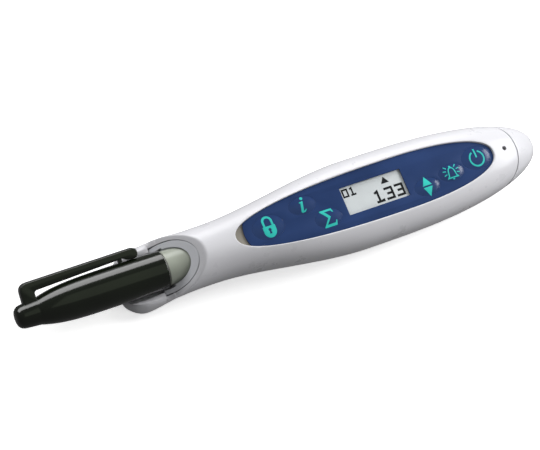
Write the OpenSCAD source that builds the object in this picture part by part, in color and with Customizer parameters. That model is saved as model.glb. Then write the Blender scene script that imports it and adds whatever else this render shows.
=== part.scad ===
// Colony counter pen: a felt marker carried in a sprung holder inside a hand-held counter.
// Lengths are measured along the marker's axis, from the front lip of the scoop.

/* [Marker] */
// Length of the capped marker
marker_len = 135; // [130:0.5:138]
// Diameter of the marker barrel
barrel_d = 12; // [11.4:0.1:12.4]
// Wall of the marker barrel
barrel_wall = 1; // [0.7:0.1:1.4]
// How far the cap stands out in front of the scoop
nose_reach = 36; // [33:0.5:38]
// Length of the cap
cap_len = 52; // [50:0.5:54]
// Largest diameter of the cap
cap_d = 13.4; // [13:0.1:13.8]
// Wall of the cap at its mouth
cap_wall = 0.9; // [0.7:0.1:1.1]
// Diameter of the cap's nose
nose_d = 8; // [7.4:0.1:8.6]
// Diameter of the writing tip
nib_d = 2.6; // [2:0.1:3.2]
// Length of the end plug's spigot
plug_len = 6; // [4:0.5:9]

/* [Clip] */
// Length of the clip from its root to its free end
clip_len = 41.2; // [38:0.1:43]
// Width of the clip
clip_w = 4; // [3:0.1:4.4]
// Thickness of the clip
clip_t = 2; // [1.1:0.1:2.4]
// Gap between the clip and the widest part of the cap
clip_gap = 1.5; // [1.3:0.1:2.4]
// How much thicker the clip is at its root
clip_taper = 1; // [0.4:0.1:1.3]
// Length of the clip's root
clip_root = 4.6; // [3.5:0.1:6]
// Turn of the clip above the parting plane, in degrees
clip_turn = 20; // [18:1:30]

/* [Holder] */
// Wall of the holder's collar
collar_wall = 2.5; // [2.2:0.1:2.9]
// Gap between the collar and the housing
collar_gap = 0.3; // [0.2:0.05:0.5]
// Front end of the collar's lower half
collar_front = 14.5; // [13:0.5:16]
// Rear end of the collar
collar_rear = 31; // [30:0.5:31.5]
// Width of the sunk ring in the collar's face, beside the barrel
relief_w = 0.5; // [0.3:0.1:0.9]
// Depth of the sunk ring
relief_depth = 1; // [0.5:0.1:1.5]
// Wall of the sleeve behind the collar
sleeve_wall = 1.25; // [1.15:0.05:1.4]
// Wall of the open cradle under the barrel
cradle_wall = 0.75; // [0.6:0.05:0.9]
// Thickness of the wall that the marker pushes on
thrust_t = 2; // [1.5:0.1:2.5]
// Travel of the holder when a colony is marked
count_travel = 1.2; // [0.8:0.1:1.5]
// Length of the guide bush
bush_len = 6; // [4:0.5:7]
// Room between the collar and the bush
bush_room = 2.5; // [2:0.1:3]

/* [Housing] */
// Width of the body at its widest
body_w = 32; // [31:0.5:34]
// Wall of the body
wall = 1.6; // [1.3:0.1:1.9]
// Wall of the neck beside the collar
neck_wall = 1.3; // [1.1:0.1:1.8]
// Extra width of the scoop at its lip
scoop_flare = 1.1; // [0.6:0.1:1.6]
// Gap between the scoop and the cap
scoop_gap = 0.6; // [0.4:0.1:1.2]
// Corner radius of the scoop's lip
scoop_corner = 4.7; // [3.5:0.1:5.5]
// Share of the wall taken by the bevel on the scoop's rim
rim_bevel = 0.6; // [0.3:0.05:0.8]
// Start of the bevelled mouth at the parting plane
bevel_start = 17; // [16.5:0.5:18]
// Slope of the bevelled mouth from upright, in degrees
bevel_angle = 48.5; // [45:0.5:50]
// Depth of the flat on the belly
belly_flat = 0.8; // [0.5:0.1:1]
// Rise of the body's crown above the key panel
crown_over = 2.1; // [1.9:0.1:2.6]
// Radius of the curved seam before the end cap
seam_r = 16; // [15:0.5:20]
// Width of the gap at the end cap's seam
seam_gap = 0.25; // [0.15:0.05:0.4]
// Diameter of the sound hole
sound_hole_d = 1.8; // [1.2:0.1:2.4]
// Wall of the end cap's skirt
skirt_wall = 1; // [0.8:0.1:1.2]
// Length of the end cap's skirt
skirt_len = 3.8; // [3:0.1:3.9]
// Depth of solid plastic at the tail
tail_wall = 6; // [5:0.5:8]
// Station of the front pair of screws
post_front = 80; // [76:0.5:84]
// Station of the rear pair of screws
post_rear = 126; // [120:0.5:127]
// Distance of the screws from the centre line
post_y = 9.4; // [9.2:0.1:9.6]

/* [Key panel] */
// Station of the panel's front tip
panel_front = 40.3; // [39:0.1:41]
// Distance from the front tip to the panel's widest place
panel_widest = 62.9; // [55:0.5:68]
// Width of the white rim beside the panel
rim_w = 6.3; // [5.9:0.1:6.8]
// Thickness of the blue overlay
overlay_t = 0.6; // [0.5:0.05:0.8]
// Thickness of the key frame under the overlay
frame_t = 0.8; // [0.75:0.05:1]
// How far the overlay ends short of the front tip
overlay_setback = 3.3; // [2:0.1:4]
// Length of the large keys
large_key_len = 11.7; // [11:0.1:12]
// Width of the large keys
large_key_w = 8.4; // [7.6:0.1:8.6]
// Length of the small keys
small_key_len = 10; // [9:0.1:10.4]
// Width of the small keys
small_key_w = 6.3; // [5.6:0.1:6.6]
// Rise of a key's dome above the overlay
key_rise = 0.6; // [0.4:0.05:0.9]
// Travel of a key
key_travel = 0.4; // [0.25:0.05:0.4]
// Distance across the centre line between the two staggered keys
key_split = 0.7; // [0.5:0.1:1]
// Offset of the scroll key from the centre line
scroll_y = -4.2; // [-4.4:0.1:-4]
// Offset of the tone key from the centre line
tone_y = -2.1; // [-2.4:0.1:-1.9]

/* [Display] */
// Length of the display window
display_len = 24.2; // [22:0.1:26]
// Height of the display window
display_w = 10.1; // [9:0.1:10.6]
// Rim of the display glass around the window
glass_rim = 0.8; // [0.6:0.1:1.1]
// Thickness of the display glass
glass_t = 1.6; // [1.2:0.1:1.7]

/* [Electronics] */
// Thickness of the circuit board
board_t = 1; // [0.8:0.1:1.2]
// Width of the circuit board
board_w = 16.4; // [15.6:0.1:17]
// Length of the controller chip
chip_len = 7; // [5:0.5:9]
// Diameter of the sounder
sounder_d = 7.6; // [6.6:0.1:7.8]
// Diameter of the counting switch
switch_d = 6.2; // [5.6:0.1:6.4]
// Length of the counting switch
switch_len = 3.5; // [3:0.1:3.7]
// Turns of the return spring
return_turns = 4; // [3:1:4]
// Diameter of the spring wire
wire_d = 0.6; // [0.4:0.05:0.7]

/* [Battery] */
// Diameter of the cell
cell_d = 10.5; // [10.2:0.1:10.6]
// Length of the cell
cell_len = 44.5; // [43.5:0.1:46]
// Room for the contact spring behind the cell
contact_room = 5.3; // [4.5:0.1:6]
// Thickness of the contact plates
plate_t = 0.4; // [0.3:0.05:0.5]
// Thickness of the wall between the switch and the cell
bulkhead_t = 1.5; // [1.2:0.1:2]

/* [Hidden] */
$fn = 48;

// Clearances
eps = 0.05;
slide_gap = 0.05;
seat_gap = 0.1;
loose_gap = 0.3;
over = 1;

// Marker, by station along the axis
nose = -nose_reach;
barrel_r = barrel_d / 2;
barrel_bore_r = barrel_r - barrel_wall;
plug_step = 0.2;
plug_bore_r = barrel_bore_r - plug_step;
cap_r = cap_d / 2;
cap_mouth = nose + cap_len;
mouth_draft = 0.15;
cap_bore_r = cap_r - mouth_draft - cap_wall;
cap_stop = 0.4;
barrel_front = cap_mouth + cap_stop;
barrel_edge = 0.3;
marker_end = nose + marker_len;
plug_head = 1.6;
barrel_rear = marker_end - plug_head;
nib_r = nib_d / 2;
nib_setback = 20;
nib_tip = nose + nib_setback;
nib_bare = 4.5;
section_tip = nib_tip + nib_bare;
section_spigot = 9;
section_rear = barrel_front + section_spigot;
nib_tail = 0.5;
nib_rear = section_rear + nib_tail;
plug_room = 3;

// Holder and neck
bore_r = barrel_r + slide_gap;
collar_r = barrel_r + collar_wall;
sleeve_r = bore_r + sleeve_wall;
cradle_r = bore_r + cradle_wall;
neck_bore_r = collar_r + collar_gap;
neck_r = neck_bore_r + neck_wall;
bush_front = collar_rear + bush_room;
bush_rear = bush_front + bush_len;
ring_t = 0.8;
ring_front = bush_rear + eps;
ring_depth = 0.4;
ring_step = 0.3;
ring_chamber_r = neck_bore_r - ring_step;
scoop_bore_r = cap_r + scoop_gap;
scoop_rear = collar_front - loose_gap;
rim_run_out = 4;
ring_shoulder = 3.5;
sleeve_rear = ring_front + ring_t + ring_shoulder;
grip_wire_r = 0.34;
grip_at = bush_front + bush_len / 2;

// Heights above the marker's axis
board_clear = 0.7;
board_bottom = barrel_r + board_clear;
board_top = board_bottom + board_t;
stand_off = 0.4;
seat_bottom = board_top + stand_off;
seat_t = 1.2;
floor_h = seat_bottom + seat_t;
overlay_bottom = floor_h + frame_t;
overlay_top = overlay_bottom + overlay_t;
crown = overlay_top + crown_over;
belly_drop = 1.2;
body_depth = neck_r + belly_drop;
axis_h = body_depth - belly_flat;
neck_crown = 0.3;
neck_rise = neck_r + neck_crown;
neck_lift = 0.2;
neck_depth = axis_h - neck_lift;
belly_wall = 2.9;
roof_extra = 0.3;
roof_wall = wall + roof_extra;

// Shape of the body along its length
neck_end = 32;
body_start = 90;
rise_start = 22;
rise_end = 64;
tail_start = 100;
flare_start = scoop_corner;
flare_end = 28;
plan_power = 2.3;
side_power = 3.2;
body_power = 2.6;
cavity_start = ring_front + ring_t + count_travel + over;
cavity_taper = 0.3;
ring_steps = 22;
station_step = 4.2;

// Panel, by station along the axis
key_inset = 6.45;
key_clear = 0.1;
key_flange = 0.3;
flange_t = 0.2;
key_web = 0.65;
info_web = 3.45;
total_step = 2.3;
glass_web = 2;
scroll_web = 1.5;
tone_web = 0.9;
tip_web = 1.15;
lock_s = panel_front + key_inset + large_key_len / 2;
info_s = lock_s + large_key_len / 2 + info_web + small_key_len / 2;
total_s = info_s + small_key_len / 2 + total_step;
glass_front = total_s + small_key_len / 2 + glass_web;
display_front = glass_front + glass_rim;
display_rear = display_front + display_len;
glass_rear = display_rear + glass_rim;
scroll_s = glass_rear + scroll_web + small_key_len / 2;
tone_s = scroll_s + small_key_len + tone_web;
power_s = tone_s + (small_key_len + large_key_len) / 2 + key_web;
panel_rear = power_s + large_key_len / 2 + tip_web;
info_y = (key_split + small_key_w) / 2;
large_key = [large_key_len / 2, large_key_w / 2];
small_key = [small_key_len / 2, small_key_w / 2];
KEYS = [[lock_s, 0, large_key], [info_s, info_y, small_key], [total_s, -info_y, small_key],
        [scroll_s, scroll_y, small_key], [tone_s, tone_y, small_key], [power_s, 0, large_key]];
panel_mid = panel_front + panel_widest;
panel_half_w = body_w / 2 - rim_w;
panel_points = 72;
seat_margin = 2;
stem_r = 1.4;
stem_hole_r = 1.8;
dome_r = 2.5;
dome_h = 0.35;
stem_bottom = board_top + dome_h + key_travel + eps;

// Board, display and sounder
board_room = 2;
board_front = sleeve_rear + count_travel + board_room;
board_inset = 2.4;
board_rear = panel_rear - board_inset;
connector_h = 0.6;
connector_w = 1.2;
glass_bottom = board_top + connector_h;
glass_margin = 1.3;
glass_half_w = display_w / 2 + glass_margin;
front_screw = [1.35, 3.9];
rear_screw = [-4.4, 5.2];
board_screw_spots = [[lock_s + large_key_len / 2, 0] + front_screw, [tone_s, 0] + rear_screw];
screw_boss_r = 2;
board_screw_r = 0.6;
board_head_r = 1.4;
board_head = 0.7;
chip_w = 3.2;
chip_t = 1.2;
chip_inset = 0.4;
sounder_web = 0.6;
sounder_s = board_rear + sounder_web + sounder_d / 2;
sounder_t = 1.2;
sounder_gap = 0.45;

// Stations behind the marker, with the seam behind the cell and behind the sounder
thrust_rear = marker_end + thrust_t;
switch_room = 0.5;
contact_t = plate_t + seat_gap;
drive_len = switch_len + count_travel + switch_room + bulkhead_t;
cell_seam = thrust_rear + drive_len + contact_t + cell_len + loose_gap;
sounder_seam = sounder_s + sounder_d / 2 + skirt_len + sounder_gap;
seam = max(cell_seam, sounder_seam);
cell_rear = seam - loose_gap;
cell_front = cell_rear - cell_len;
bulkhead_rear = cell_front - contact_t;
bulkhead_front = bulkhead_rear - bulkhead_t;
switch_base = 0.4;
switch_floor = bulkhead_front - switch_base;
pocket_end = cell_rear + contact_room;
body_len = pocket_end + tail_wall;
middle = (body_len - nose_reach) / 2;
sound_hole_s = (panel_rear + seam) / 2;
cell_r = cell_d / 2;
cell_clear = 0.45;
cell_h = board_bottom - cell_clear - cell_r;
cell_nub = 0.9;

// Ribs of the lower half
rib_t = 1.2;
rib_half_w = 7.6;
rib_root = 0.5;
rib_bottom = belly_wall - body_depth - rib_root;
rib_drop = 2;
rib_set = [10, 14];
rib_front = cell_front + rib_set[0];
rib_rear = cell_rear - rib_set[1];
bulkhead_over = 3.5;

// Housing screws
post_r = 2.3;
post_root = 0.4;
post_top = seat_bottom + post_root;
post_bottom = -8.3;
head_seat = -5.5;
head_r = 1.5;
head_t = 1.2;
head_gap = 0.2;
screw_r = 0.85;
screw_len = 11;
post_spots = [for (s = [post_front, post_rear], side = [-1, 1]) [s, side * post_y]];

// Springs
wire_r = wire_d / 2;
spring_gap = 0.7;
spring_r = switch_d / 2 + spring_gap + wire_r;
contact_r = 4;
contact_tip_r = 2.8;
contact_gap = 0.6;
contact_turns = 3;
ring_sides = 6;
turn_steps = 16;

// Smooth step from 0 at a to 1 at b
function smooth(a, b, s) =
    let (t = max(0, min(1, (s - a) / (b - a))))
    t * t * (3 - 2 * t);

// Rounded closing of the tail, 1 along the body and 0 at the tip
function tail(s, power) =
    pow(max(0, 1 - pow(max(0, (s - tail_start) / (body_len - tail_start)), power)), 1 / power);

function signed_pow(v, p) = sign(v) * pow(abs(v), p);

// Outer half width, rise and depth of the body at station s
function out_w(s) =
    (neck_r + (body_w / 2 - neck_r) * smooth(neck_end, body_start, s)
        + scoop_flare * (1 - smooth(flare_start, flare_end, s))) * tail(s, plan_power);
function out_rise(s) =
    (neck_rise + (crown - neck_rise) * smooth(rise_start, rise_end, s)) * tail(s, side_power);
function out_depth(s) =
    (neck_depth + (body_depth - neck_depth) * smooth(rise_start, rise_end, s)) * tail(s, side_power);
function power_at(s) = 2 + (body_power - 2) * smooth(rise_start, rise_end, s);

// Inner half width, rise and depth, no larger than the ring chamber in the neck
function cavity_limit(s) = ring_chamber_r - seat_gap + max(0, s - cavity_start) * cavity_taper;
function in_w(s) = min(out_w(s) - wall, cavity_limit(s));
function in_rise(s) = min(out_rise(s) - roof_wall, cavity_limit(s));
function in_depth(s) = min(out_depth(s) - belly_wall, cavity_limit(s));

// Superellipse arc in the cross-section plane, as [y, h] points
function section_arc(w, h, power, from, to, steps) =
    [for (i = [0:steps])
        let (a = from + (to - from) * i / steps)
        [w * signed_pow(cos(a), 2 / power), h * signed_pow(sin(a), 2 / power)]];

function at_station(s, points) = [for (p = points) [s, p[0], p[1]]];

// Wall section of the upper or lower half at station s
function upper_ring(s) = at_station(s, concat(
    section_arc(out_w(s), out_rise(s), power_at(s), 0, 180, ring_steps),
    section_arc(in_w(s), in_rise(s), power_at(s), 180, 0, ring_steps)));
function lower_ring(s) = at_station(s, concat(
    bevelled(section_arc(out_w(s), out_depth(s), power_at(s), 180, 360, ring_steps), rim_cut(s)),
    section_arc(in_w(s), in_depth(s), power_at(s), 360, 180, ring_steps)));

// Width of the bevel on the scoop's rim, which runs out before the neck
function rim_cut(s) = rim_bevel * (out_w(s) - in_w(s)) * max(0, min(1, (scoop_rear - s) / rim_run_out));

// Half section with its two upper corners moved inwards
function bevelled(points, cut) = [for (i = [0:len(points) - 1])
    let (at_end = i == 0 || i == len(points) - 1)
    points[i] - [at_end ? sign(points[i][0]) * cut : 0, 0]];

// Whole section with its own rise and depth
function full_section(w, rise, depth, power) = concat(
    section_arc(w, rise, power, 0, 180 - 180 / ring_steps, ring_steps - 1),
    section_arc(w, depth, power, 180, 360 - 180 / ring_steps, ring_steps - 1));

// Plan outline of the panel, grown by a margin
function panel_outline(grow) = [for (i = [0:panel_points - 1])
    let (a = 360 * i / panel_points)
    let (reach = (cos(a) > 0 ? panel_rear - panel_mid : panel_mid - panel_front) + grow)
    [panel_mid + reach * signed_pow(cos(a), 2 / plan_power),
     (panel_half_w + grow) * signed_pow(sin(a), 2 / plan_power)]];

// Plan outline of the circuit board, with the panel's own curve
function board_outline() = [for (i = [0:panel_points - 1])
    let (a = 360 * i / panel_points)
    let (reach = cos(a) > 0 ? board_rear - panel_mid : panel_mid - board_front)
    [panel_mid + reach * signed_pow(cos(a), 2 / plan_power),
     board_w / 2 * signed_pow(sin(a), 2 / plan_power)]];

// End face of a ring: a strip of triangles across a wall section, or one flat polygon
function end_face(first, n, strip) = strip
    ? [for (j = [0:n / 2 - 2])
        let (a = first + j, b = first + n - 1 - j)
        each [[a, a + 1, b - 1], [a, b - 1, b]]]
    : [[for (j = [0:n - 1]) first + j]];

// Round stretch of an outline, with its angles in degrees
function arc(centre, r, from, to, steps) =
    [for (i = [0:steps])
        let (a = from + (to - from) * i / steps)
        centre + r * [cos(a), sin(a)]];

function reversed(list) = [for (i = [len(list) - 1:-1:0]) list[i]];

// Closed solid through a row of rings with equal point counts, each running counterclockwise
module loft(rings, wall_ring = false) {
    n = len(rings[0]);
    m = len(rings);
    sides = [for (i = [0:m - 2], j = [0:n - 1])
        let (a = i * n + j, b = i * n + (j + 1) % n)
        each [[a, b + n, b], [a, a + n, b + n]]];
    front = end_face(0, n, wall_ring);
    rear = [for (face = end_face((m - 1) * n, n, wall_ring)) reversed(face)];
    polyhedron([for (ring = rings) each ring], concat(sides, front, rear), convexity = 8);
}

// Shell half from one station to another
module shell(from, to, upper) {
    count = ceil((to - from) / station_step);
    stations = [for (i = [0:count]) from + (to - from) * i / count];
    loft([for (s = stations) upper ? upper_ring(s) : lower_ring(s)], wall_ring = true);
}

// Wire wound along the axis, with a radius that changes evenly from start to end
module coil(from, to, r_from, r_to, turns) {
    steps = turns * turn_steps;
    loft([for (i = [0:steps])
        let (t = i / steps, a = 360 * turns * t, r = r_from + (r_to - r_from) * t)
        [for (j = [0:ring_sides - 1])
            let (b = 360 * j / ring_sides, q = r + wire_r * cos(b))
            [from + (to - from) * t - wire_r * sin(b), q * cos(a), q * sin(a)]]]);
}

// Moves a piece from stations and axis heights into the part's frame
module in_frame() { translate([-middle, 0, axis_h]) children(); }

// Round bar along the axis
module bar(from, to, r) { translate([from, 0, 0]) rotate([0, 90, 0]) cylinder(h = to - from, r = r); }

// Lower half of a round bar
module half_bar(from, to, r) {
    difference() {
        bar(from, to, r);
        box([from - over, -r - over, 0], [to + over, r + over, r + over]);
    }
}

// Solid of revolution about the axis, from [station, radius] points
module turned(points) { rotate([0, 90, 0]) rotate_extrude() polygon([for (p = points) [p[1], p[0]]]); }

// Box between two corners
module box(low, high) { translate(low) cube(high - low); }

// Plate with a plan outline between two heights
module plate(points, bottom, top) { translate([0, 0, bottom]) linear_extrude(top - bottom) polygon(points); }

// Oval column for a key, grown by a margin
module oval(key, grow, bottom, top) {
    points = [for (i = [0:ring_steps * 2 - 1])
        let (a = 180 * i / ring_steps)
        [key[0] + (key[2][0] + grow) * cos(a), key[1] + (key[2][1] + grow) * sin(a)]];
    plate(points, bottom, top);
}

// Upright round post or hole
module upright(spot, bottom, top, r) {
    translate([spot[0], spot[1], bottom]) cylinder(h = top - bottom, r = r);
}

// Space in front of the bevelled mouth, from a depth under the parting plane upwards
module bevel_space(depth) {
    reach = 2 * neck_r;
    low = bevel_start - depth * tan(bevel_angle);
    points = [[-over, -depth - eps], [low, -depth - eps], [low, -depth],
              [bevel_start + reach * tan(bevel_angle), reach], [-over, reach]];
    rotate([90, 0, 0]) translate([0, 0, -reach]) linear_extrude(2 * reach) polygon(points);
}

// Space behind the curved seam, where the end cap sits
module tail_space() {
    difference() {
        box([seam - seam_r, -body_w, -body_w], [body_len + over, body_w, body_w]);
        upright([seam - seam_r, 0], -body_w - over, body_w + over, seam_r);
    }
}

// Bores in the neck for the cap, the collar, the bush and the retaining ring
module neck_bores() {
    bar(-over, bush_rear, scoop_bore_r);
    bar(scoop_rear, bush_rear + eps, neck_bore_r);
    bar(bush_rear, cavity_start, ring_chamber_r);
}

module upper_housing() {
    color("ghostwhite") in_frame() difference() {
        union() {
            shell(collar_front, seam + over, true);
            plate(panel_outline(seat_margin), seat_bottom, floor_h);
            for (p = post_spots) upright(p, 0, post_top, post_r);
            for (p = board_screw_spots) upright(p, board_top, seat_bottom + eps, screw_boss_r);
        }
        plate(panel_outline(0), floor_h, crown + over);
        neck_bores();
        bevel_space(0);
        tail_space();
        for (key = KEYS) upright(key, seat_bottom - over, floor_h + over, stem_hole_r);
        box([glass_front - loose_gap, -glass_half_w - loose_gap, seat_bottom - over],
            [glass_rear + loose_gap, glass_half_w + loose_gap, floor_h + over]);
        for (p = post_spots) upright(p, -over, screw_len + head_seat + loose_gap, screw_r + slide_gap);
        for (p = board_screw_spots)
            upright(p, board_top - over, floor_h - loose_gap, board_screw_r + slide_gap);
        upright([sound_hole_s, 0], seat_bottom, crown + over, sound_hole_d / 2);
    }
}

// Rib that carries the cell, or a wall across the lower half
module cross_wall(from, to, top) { box([from, -rib_half_w, rib_bottom], [to, rib_half_w, top]); }

module lower_housing() {
    color("ghostwhite") in_frame() difference() {
        union() {
            shell(0, seam + over, false);
            half_bar(0, scoop_rear, neck_bore_r);
            for (p = post_spots) upright(p, post_bottom, 0, post_r);
            cross_wall(bulkhead_front, bulkhead_rear, cell_h + bulkhead_over);
            for (s = [rib_front, rib_rear]) cross_wall(s, s + rib_t, cell_h - rib_drop);
        }
        neck_bores();
        tail_space();
        translate([0, 0, cell_h]) bar(cell_front - eps, seam, cell_r + seat_gap);
        for (p = post_spots) {
            upright(p, -body_depth - over, head_seat, head_r + head_gap);
            upright(p, head_seat - over, over, screw_r + seat_gap);
        }
        box([-over, -body_w, -body_depth - over], [body_len, body_w, -axis_h]);
        for (side = [-1, 1]) scoop_corner_cut(side);
    }
}

// Sharp corner of the scoop's lip, outside its rounding
module scoop_corner_cut(side) {
    edge = neck_r + scoop_flare;
    difference() {
        translate([-over, side > 0 ? edge - scoop_corner : -edge - over, -body_w])
            cube([scoop_corner + over, scoop_corner + over, 2 * body_w]);
        upright([scoop_corner, side * (edge - scoop_corner)], -body_w - over, body_w + over, scoop_corner);
    }
}

module end_cap() {
    rings = 16;
    hollow_depth = 2.5;
    first = seam - seam_r / 2;
    stations = [for (i = [0:rings]) first + (body_len - first) * sin(90 * i / rings)];
    tip = 0.7;
    skirt = [in_w(seam) - loose_gap, in_rise(seam) - loose_gap, in_depth(seam) - loose_gap];
    hollow = [for (v = skirt) v - skirt_wall];
    color("ghostwhite") in_frame() difference() {
        union() {
            intersection() {
                loft([for (s = stations) at_station(s, full_section(max(tip, out_w(s)),
                    max(tip, out_rise(s)), max(tip, out_depth(s)), power_at(s)))]);
                translate([seam_gap, 0, 0]) tail_space();
            }
            section_bar(seam - skirt_len, seam + over, skirt);
        }
        section_bar(seam - skirt_len - over, seam + hollow_depth, hollow);
        translate([0, 0, cell_h]) bar(seam, pocket_end, contact_r + contact_gap);
    }
}

// Straight bar with a body-like section
module section_bar(from, to, half) {
    translate([from, 0, 0]) rotate([90, 0, 90]) linear_extrude(to - from)
        polygon(full_section(half[0], half[1], half[2], body_power));
}

module guide_bush() {
    color("darkgray") in_frame() difference() {
        bar(bush_front, bush_rear, neck_bore_r - slide_gap);
        bar(bush_front - over, bush_rear + over, sleeve_r + slide_gap);
    }
}

module housing_screws() {
    color("silver") in_frame() for (p = post_spots) {
        upright(p, head_seat - head_t, head_seat, head_r);
        upright(p, head_seat - eps, head_seat + screw_len, screw_r);
    }
}

module pen_holder() {
    cap_room = 2;
    groove = 1.5 * grip_wire_r;
    face_depth = (bevel_start - collar_front) / tan(bevel_angle);
    color("whitesmoke") in_frame() difference() {
        union() {
            bar(collar_front, collar_rear, collar_r);
            bar(collar_rear - eps, sleeve_rear, sleeve_r);
            half_bar(sleeve_rear - eps, thrust_rear, cradle_r);
            bar(marker_end + eps, thrust_rear, barrel_r - seat_gap);
        }
        bar(collar_front - over, marker_end + eps, bore_r);
        bar(collar_front - over, cap_mouth + cap_room, cap_r + loose_gap);
        bevel_space(face_depth);
        intersection() {
            translate([relief_depth, 0, 0]) bevel_space(face_depth);
            bar(collar_front - over, collar_rear, bore_r + relief_w);
        }
        bar(grip_at - groove, grip_at + groove, bore_r + 2 * grip_wire_r + eps);
        difference() {
            bar(ring_front, ring_front + ring_t, sleeve_r + over);
            bar(ring_front - over, ring_front + ring_t + over, sleeve_r - ring_depth);
        }
    }
}

module retaining_ring() {
    color("silver") in_frame() difference() {
        bar(ring_front + eps, ring_front + ring_t - eps, ring_chamber_r - loose_gap);
        bar(ring_front - over, ring_front + ring_t + over, sleeve_r - ring_depth + slide_gap);
    }
}

module grip_ring() {
    color("black") in_frame() translate([grip_at, 0, 0]) rotate([0, 90, 0]) rotate_extrude()
        translate([bore_r + grip_wire_r, 0]) circle(r = grip_wire_r);
}

module return_spring() {
    ends = [thrust_rear + wire_r + eps, bulkhead_front - wire_r - eps];
    color("silver") in_frame() coil(ends[0], ends[1], spring_r, spring_r, return_turns);
}

module count_switch() {
    color("dimgray") in_frame() difference() {
        bar(bulkhead_front - switch_len, bulkhead_front, switch_d / 2);
        bar(bulkhead_front - switch_len - over, switch_floor, stem_hole_r);
    }
}

module switch_plunger() {
    color("firebrick") in_frame()
        bar(thrust_rear, switch_floor - count_travel - seat_gap, stem_hole_r - slide_gap);
}

module marker_barrel() {
    taper = 7;
    end_r = barrel_r - 0.5;
    plug_seat = barrel_rear - plug_len - plug_room;
    step = 1;
    outside = [[barrel_front, barrel_r - barrel_edge], [barrel_front + barrel_edge, barrel_r],
               [barrel_rear - taper, barrel_r], [barrel_rear, end_r]];
    inside = [[barrel_rear, plug_bore_r], [plug_seat + step, plug_bore_r], [plug_seat, barrel_bore_r],
              [barrel_front, barrel_bore_r]];
    color("darkgray") in_frame() turned(concat(outside, inside));
}

module barrel_plug() {
    fit_r = plug_bore_r - slide_gap;
    head_r = barrel_r - 0.6;
    round_r = 0.5;
    spigot = [[barrel_rear - plug_len, 0], [barrel_rear - plug_len, fit_r], [barrel_rear, fit_r]];
    dome = arc([marker_end - round_r, head_r - 2 * round_r], round_r, 90, 0, 3);
    color("darkgray") in_frame() turned(concat(spigot, [[barrel_rear, head_r]], dome, [[marker_end, 0]]));
}

module nib_section() {
    fit_gap = 0.08;
    fit_r = cap_bore_r - fit_gap;
    fit_len = 15.4;
    fit_front = barrel_front - fit_len;
    step = 0.5;
    step_r = fit_r - 0.8;
    cone_gap = 4;
    cone_rear = fit_front - cone_gap;
    cone_r = fit_r - 1.3;
    tip_wall = 0.6;
    tip_r = nib_r + tip_wall;
    spigot_r = barrel_bore_r - slide_gap;
    color("gainsboro") in_frame() difference() {
        turned([[section_tip, 0], [section_tip, tip_r], [cone_rear, cone_r], [fit_front - step, step_r],
            [fit_front, fit_r], [barrel_front, fit_r], [barrel_front, spigot_r], [section_rear, spigot_r],
            [section_rear, 0]]);
        bar(section_tip - over, section_rear + over, nib_r + slide_gap);
    }
}

module marker_nib() {
    point_len = 2.6;
    point_r = nib_r * 0.35;
    bend = 1;
    color("black") in_frame() turned([[nib_tip, 0], [nib_tip, point_r], [nib_tip + bend, 2 * point_r],
        [nib_tip + point_len, nib_r], [nib_rear, nib_r], [nib_rear, 0]]);
}

module ink_reservoir() {
    rear_gap = 0.5;
    color("dimgray") in_frame()
        bar(nib_rear, barrel_rear - plug_len - plug_room - rear_gap, barrel_bore_r - seat_gap);
}

module marker_cap() {
    nose_r = nose_d / 2;
    nose_len = 0.6 * nose_r;
    round_steps = 6;
    step_front = nose + 7.8;
    step = 0.4;
    step_r = nose_r + 0.45;
    flank_front = step_front + step;
    flank_r = step_r + 0.15;
    flank_len = 28.8;
    flank_power = 3.5;
    lip = [0.5, 0.4];
    bore_end = cap_mouth - 16.5;
    cone_end = bore_end - 3.5;
    cone_r = cap_bore_r - 0.7;
    tip_gap = 1.4;
    nib_gap = 0.4;
    tip_room = 2;
    dome = [for (p = arc([0, 0], 1, 180, 90, round_steps)) [nose + nose_len * (1 + p[0]), nose_r * p[1]]];
    flank = [for (i = [0:round_steps])
        let (t = i / round_steps)
        [flank_front + flank_len * t, cap_r - (cap_r - flank_r) * pow(1 - t, flank_power)]];
    mouth = [[cap_mouth - lip[0], cap_r - mouth_draft], [cap_mouth, cap_r - lip[1]]];
    inside = [[cap_mouth, cap_bore_r], [bore_end, cap_bore_r], [cone_end, cone_r],
              [section_tip, nib_r + tip_gap], [nib_tip - tip_room, nib_r + nib_gap],
              [nib_tip - tip_room - step, 0]];
    color("#1d211f") in_frame() union() {
        turned(concat(dome, [[step_front, step_r]], flank, mouth, inside));
        rotate([-90 + clip_turn, 0, 0]) clip();
    }
}

// Clip in its own plane, with its outer face towards +h: root, bar, rounded free end and the nub under it
module clip() {
    root_front = nose + 3.6;
    root_rear = root_front + clip_root;
    root_r = 2;
    outer = cap_r + clip_gap + clip_t;
    inner = cap_r + clip_gap;
    free = root_front + clip_len;
    round_r = 1.6;
    slot_r = 0.6;
    lobe_r = (clip_t + 1) / 2;
    lobe_len = 5.4;
    lobe_slope = 1.8;
    nub_rear = free - 5.8;
    nub_front = nub_rear - 1;
    nub_r = cap_r + 0.4;
    profile = concat([[root_front, root_r]],
        arc([root_front + round_r, outer - round_r], round_r, 180, 90, 4),
        arc([free - lobe_r, outer - lobe_r], lobe_r, 90, -90, 8),
        [[free - lobe_len + lobe_slope, outer - 2 * lobe_r], [free - lobe_len, inner]],
        [[nub_rear, inner], [nub_rear, nub_r], [nub_front, nub_r], [nub_front, inner]],
        arc([root_rear + slot_r, inner - clip_taper - slot_r], slot_r, 90, 180, 3),
        [[root_rear, root_r]]);
    rotate([90, 0, 0]) translate([0, 0, -clip_w / 2]) linear_extrude(clip_w) polygon(profile);
}

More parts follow.
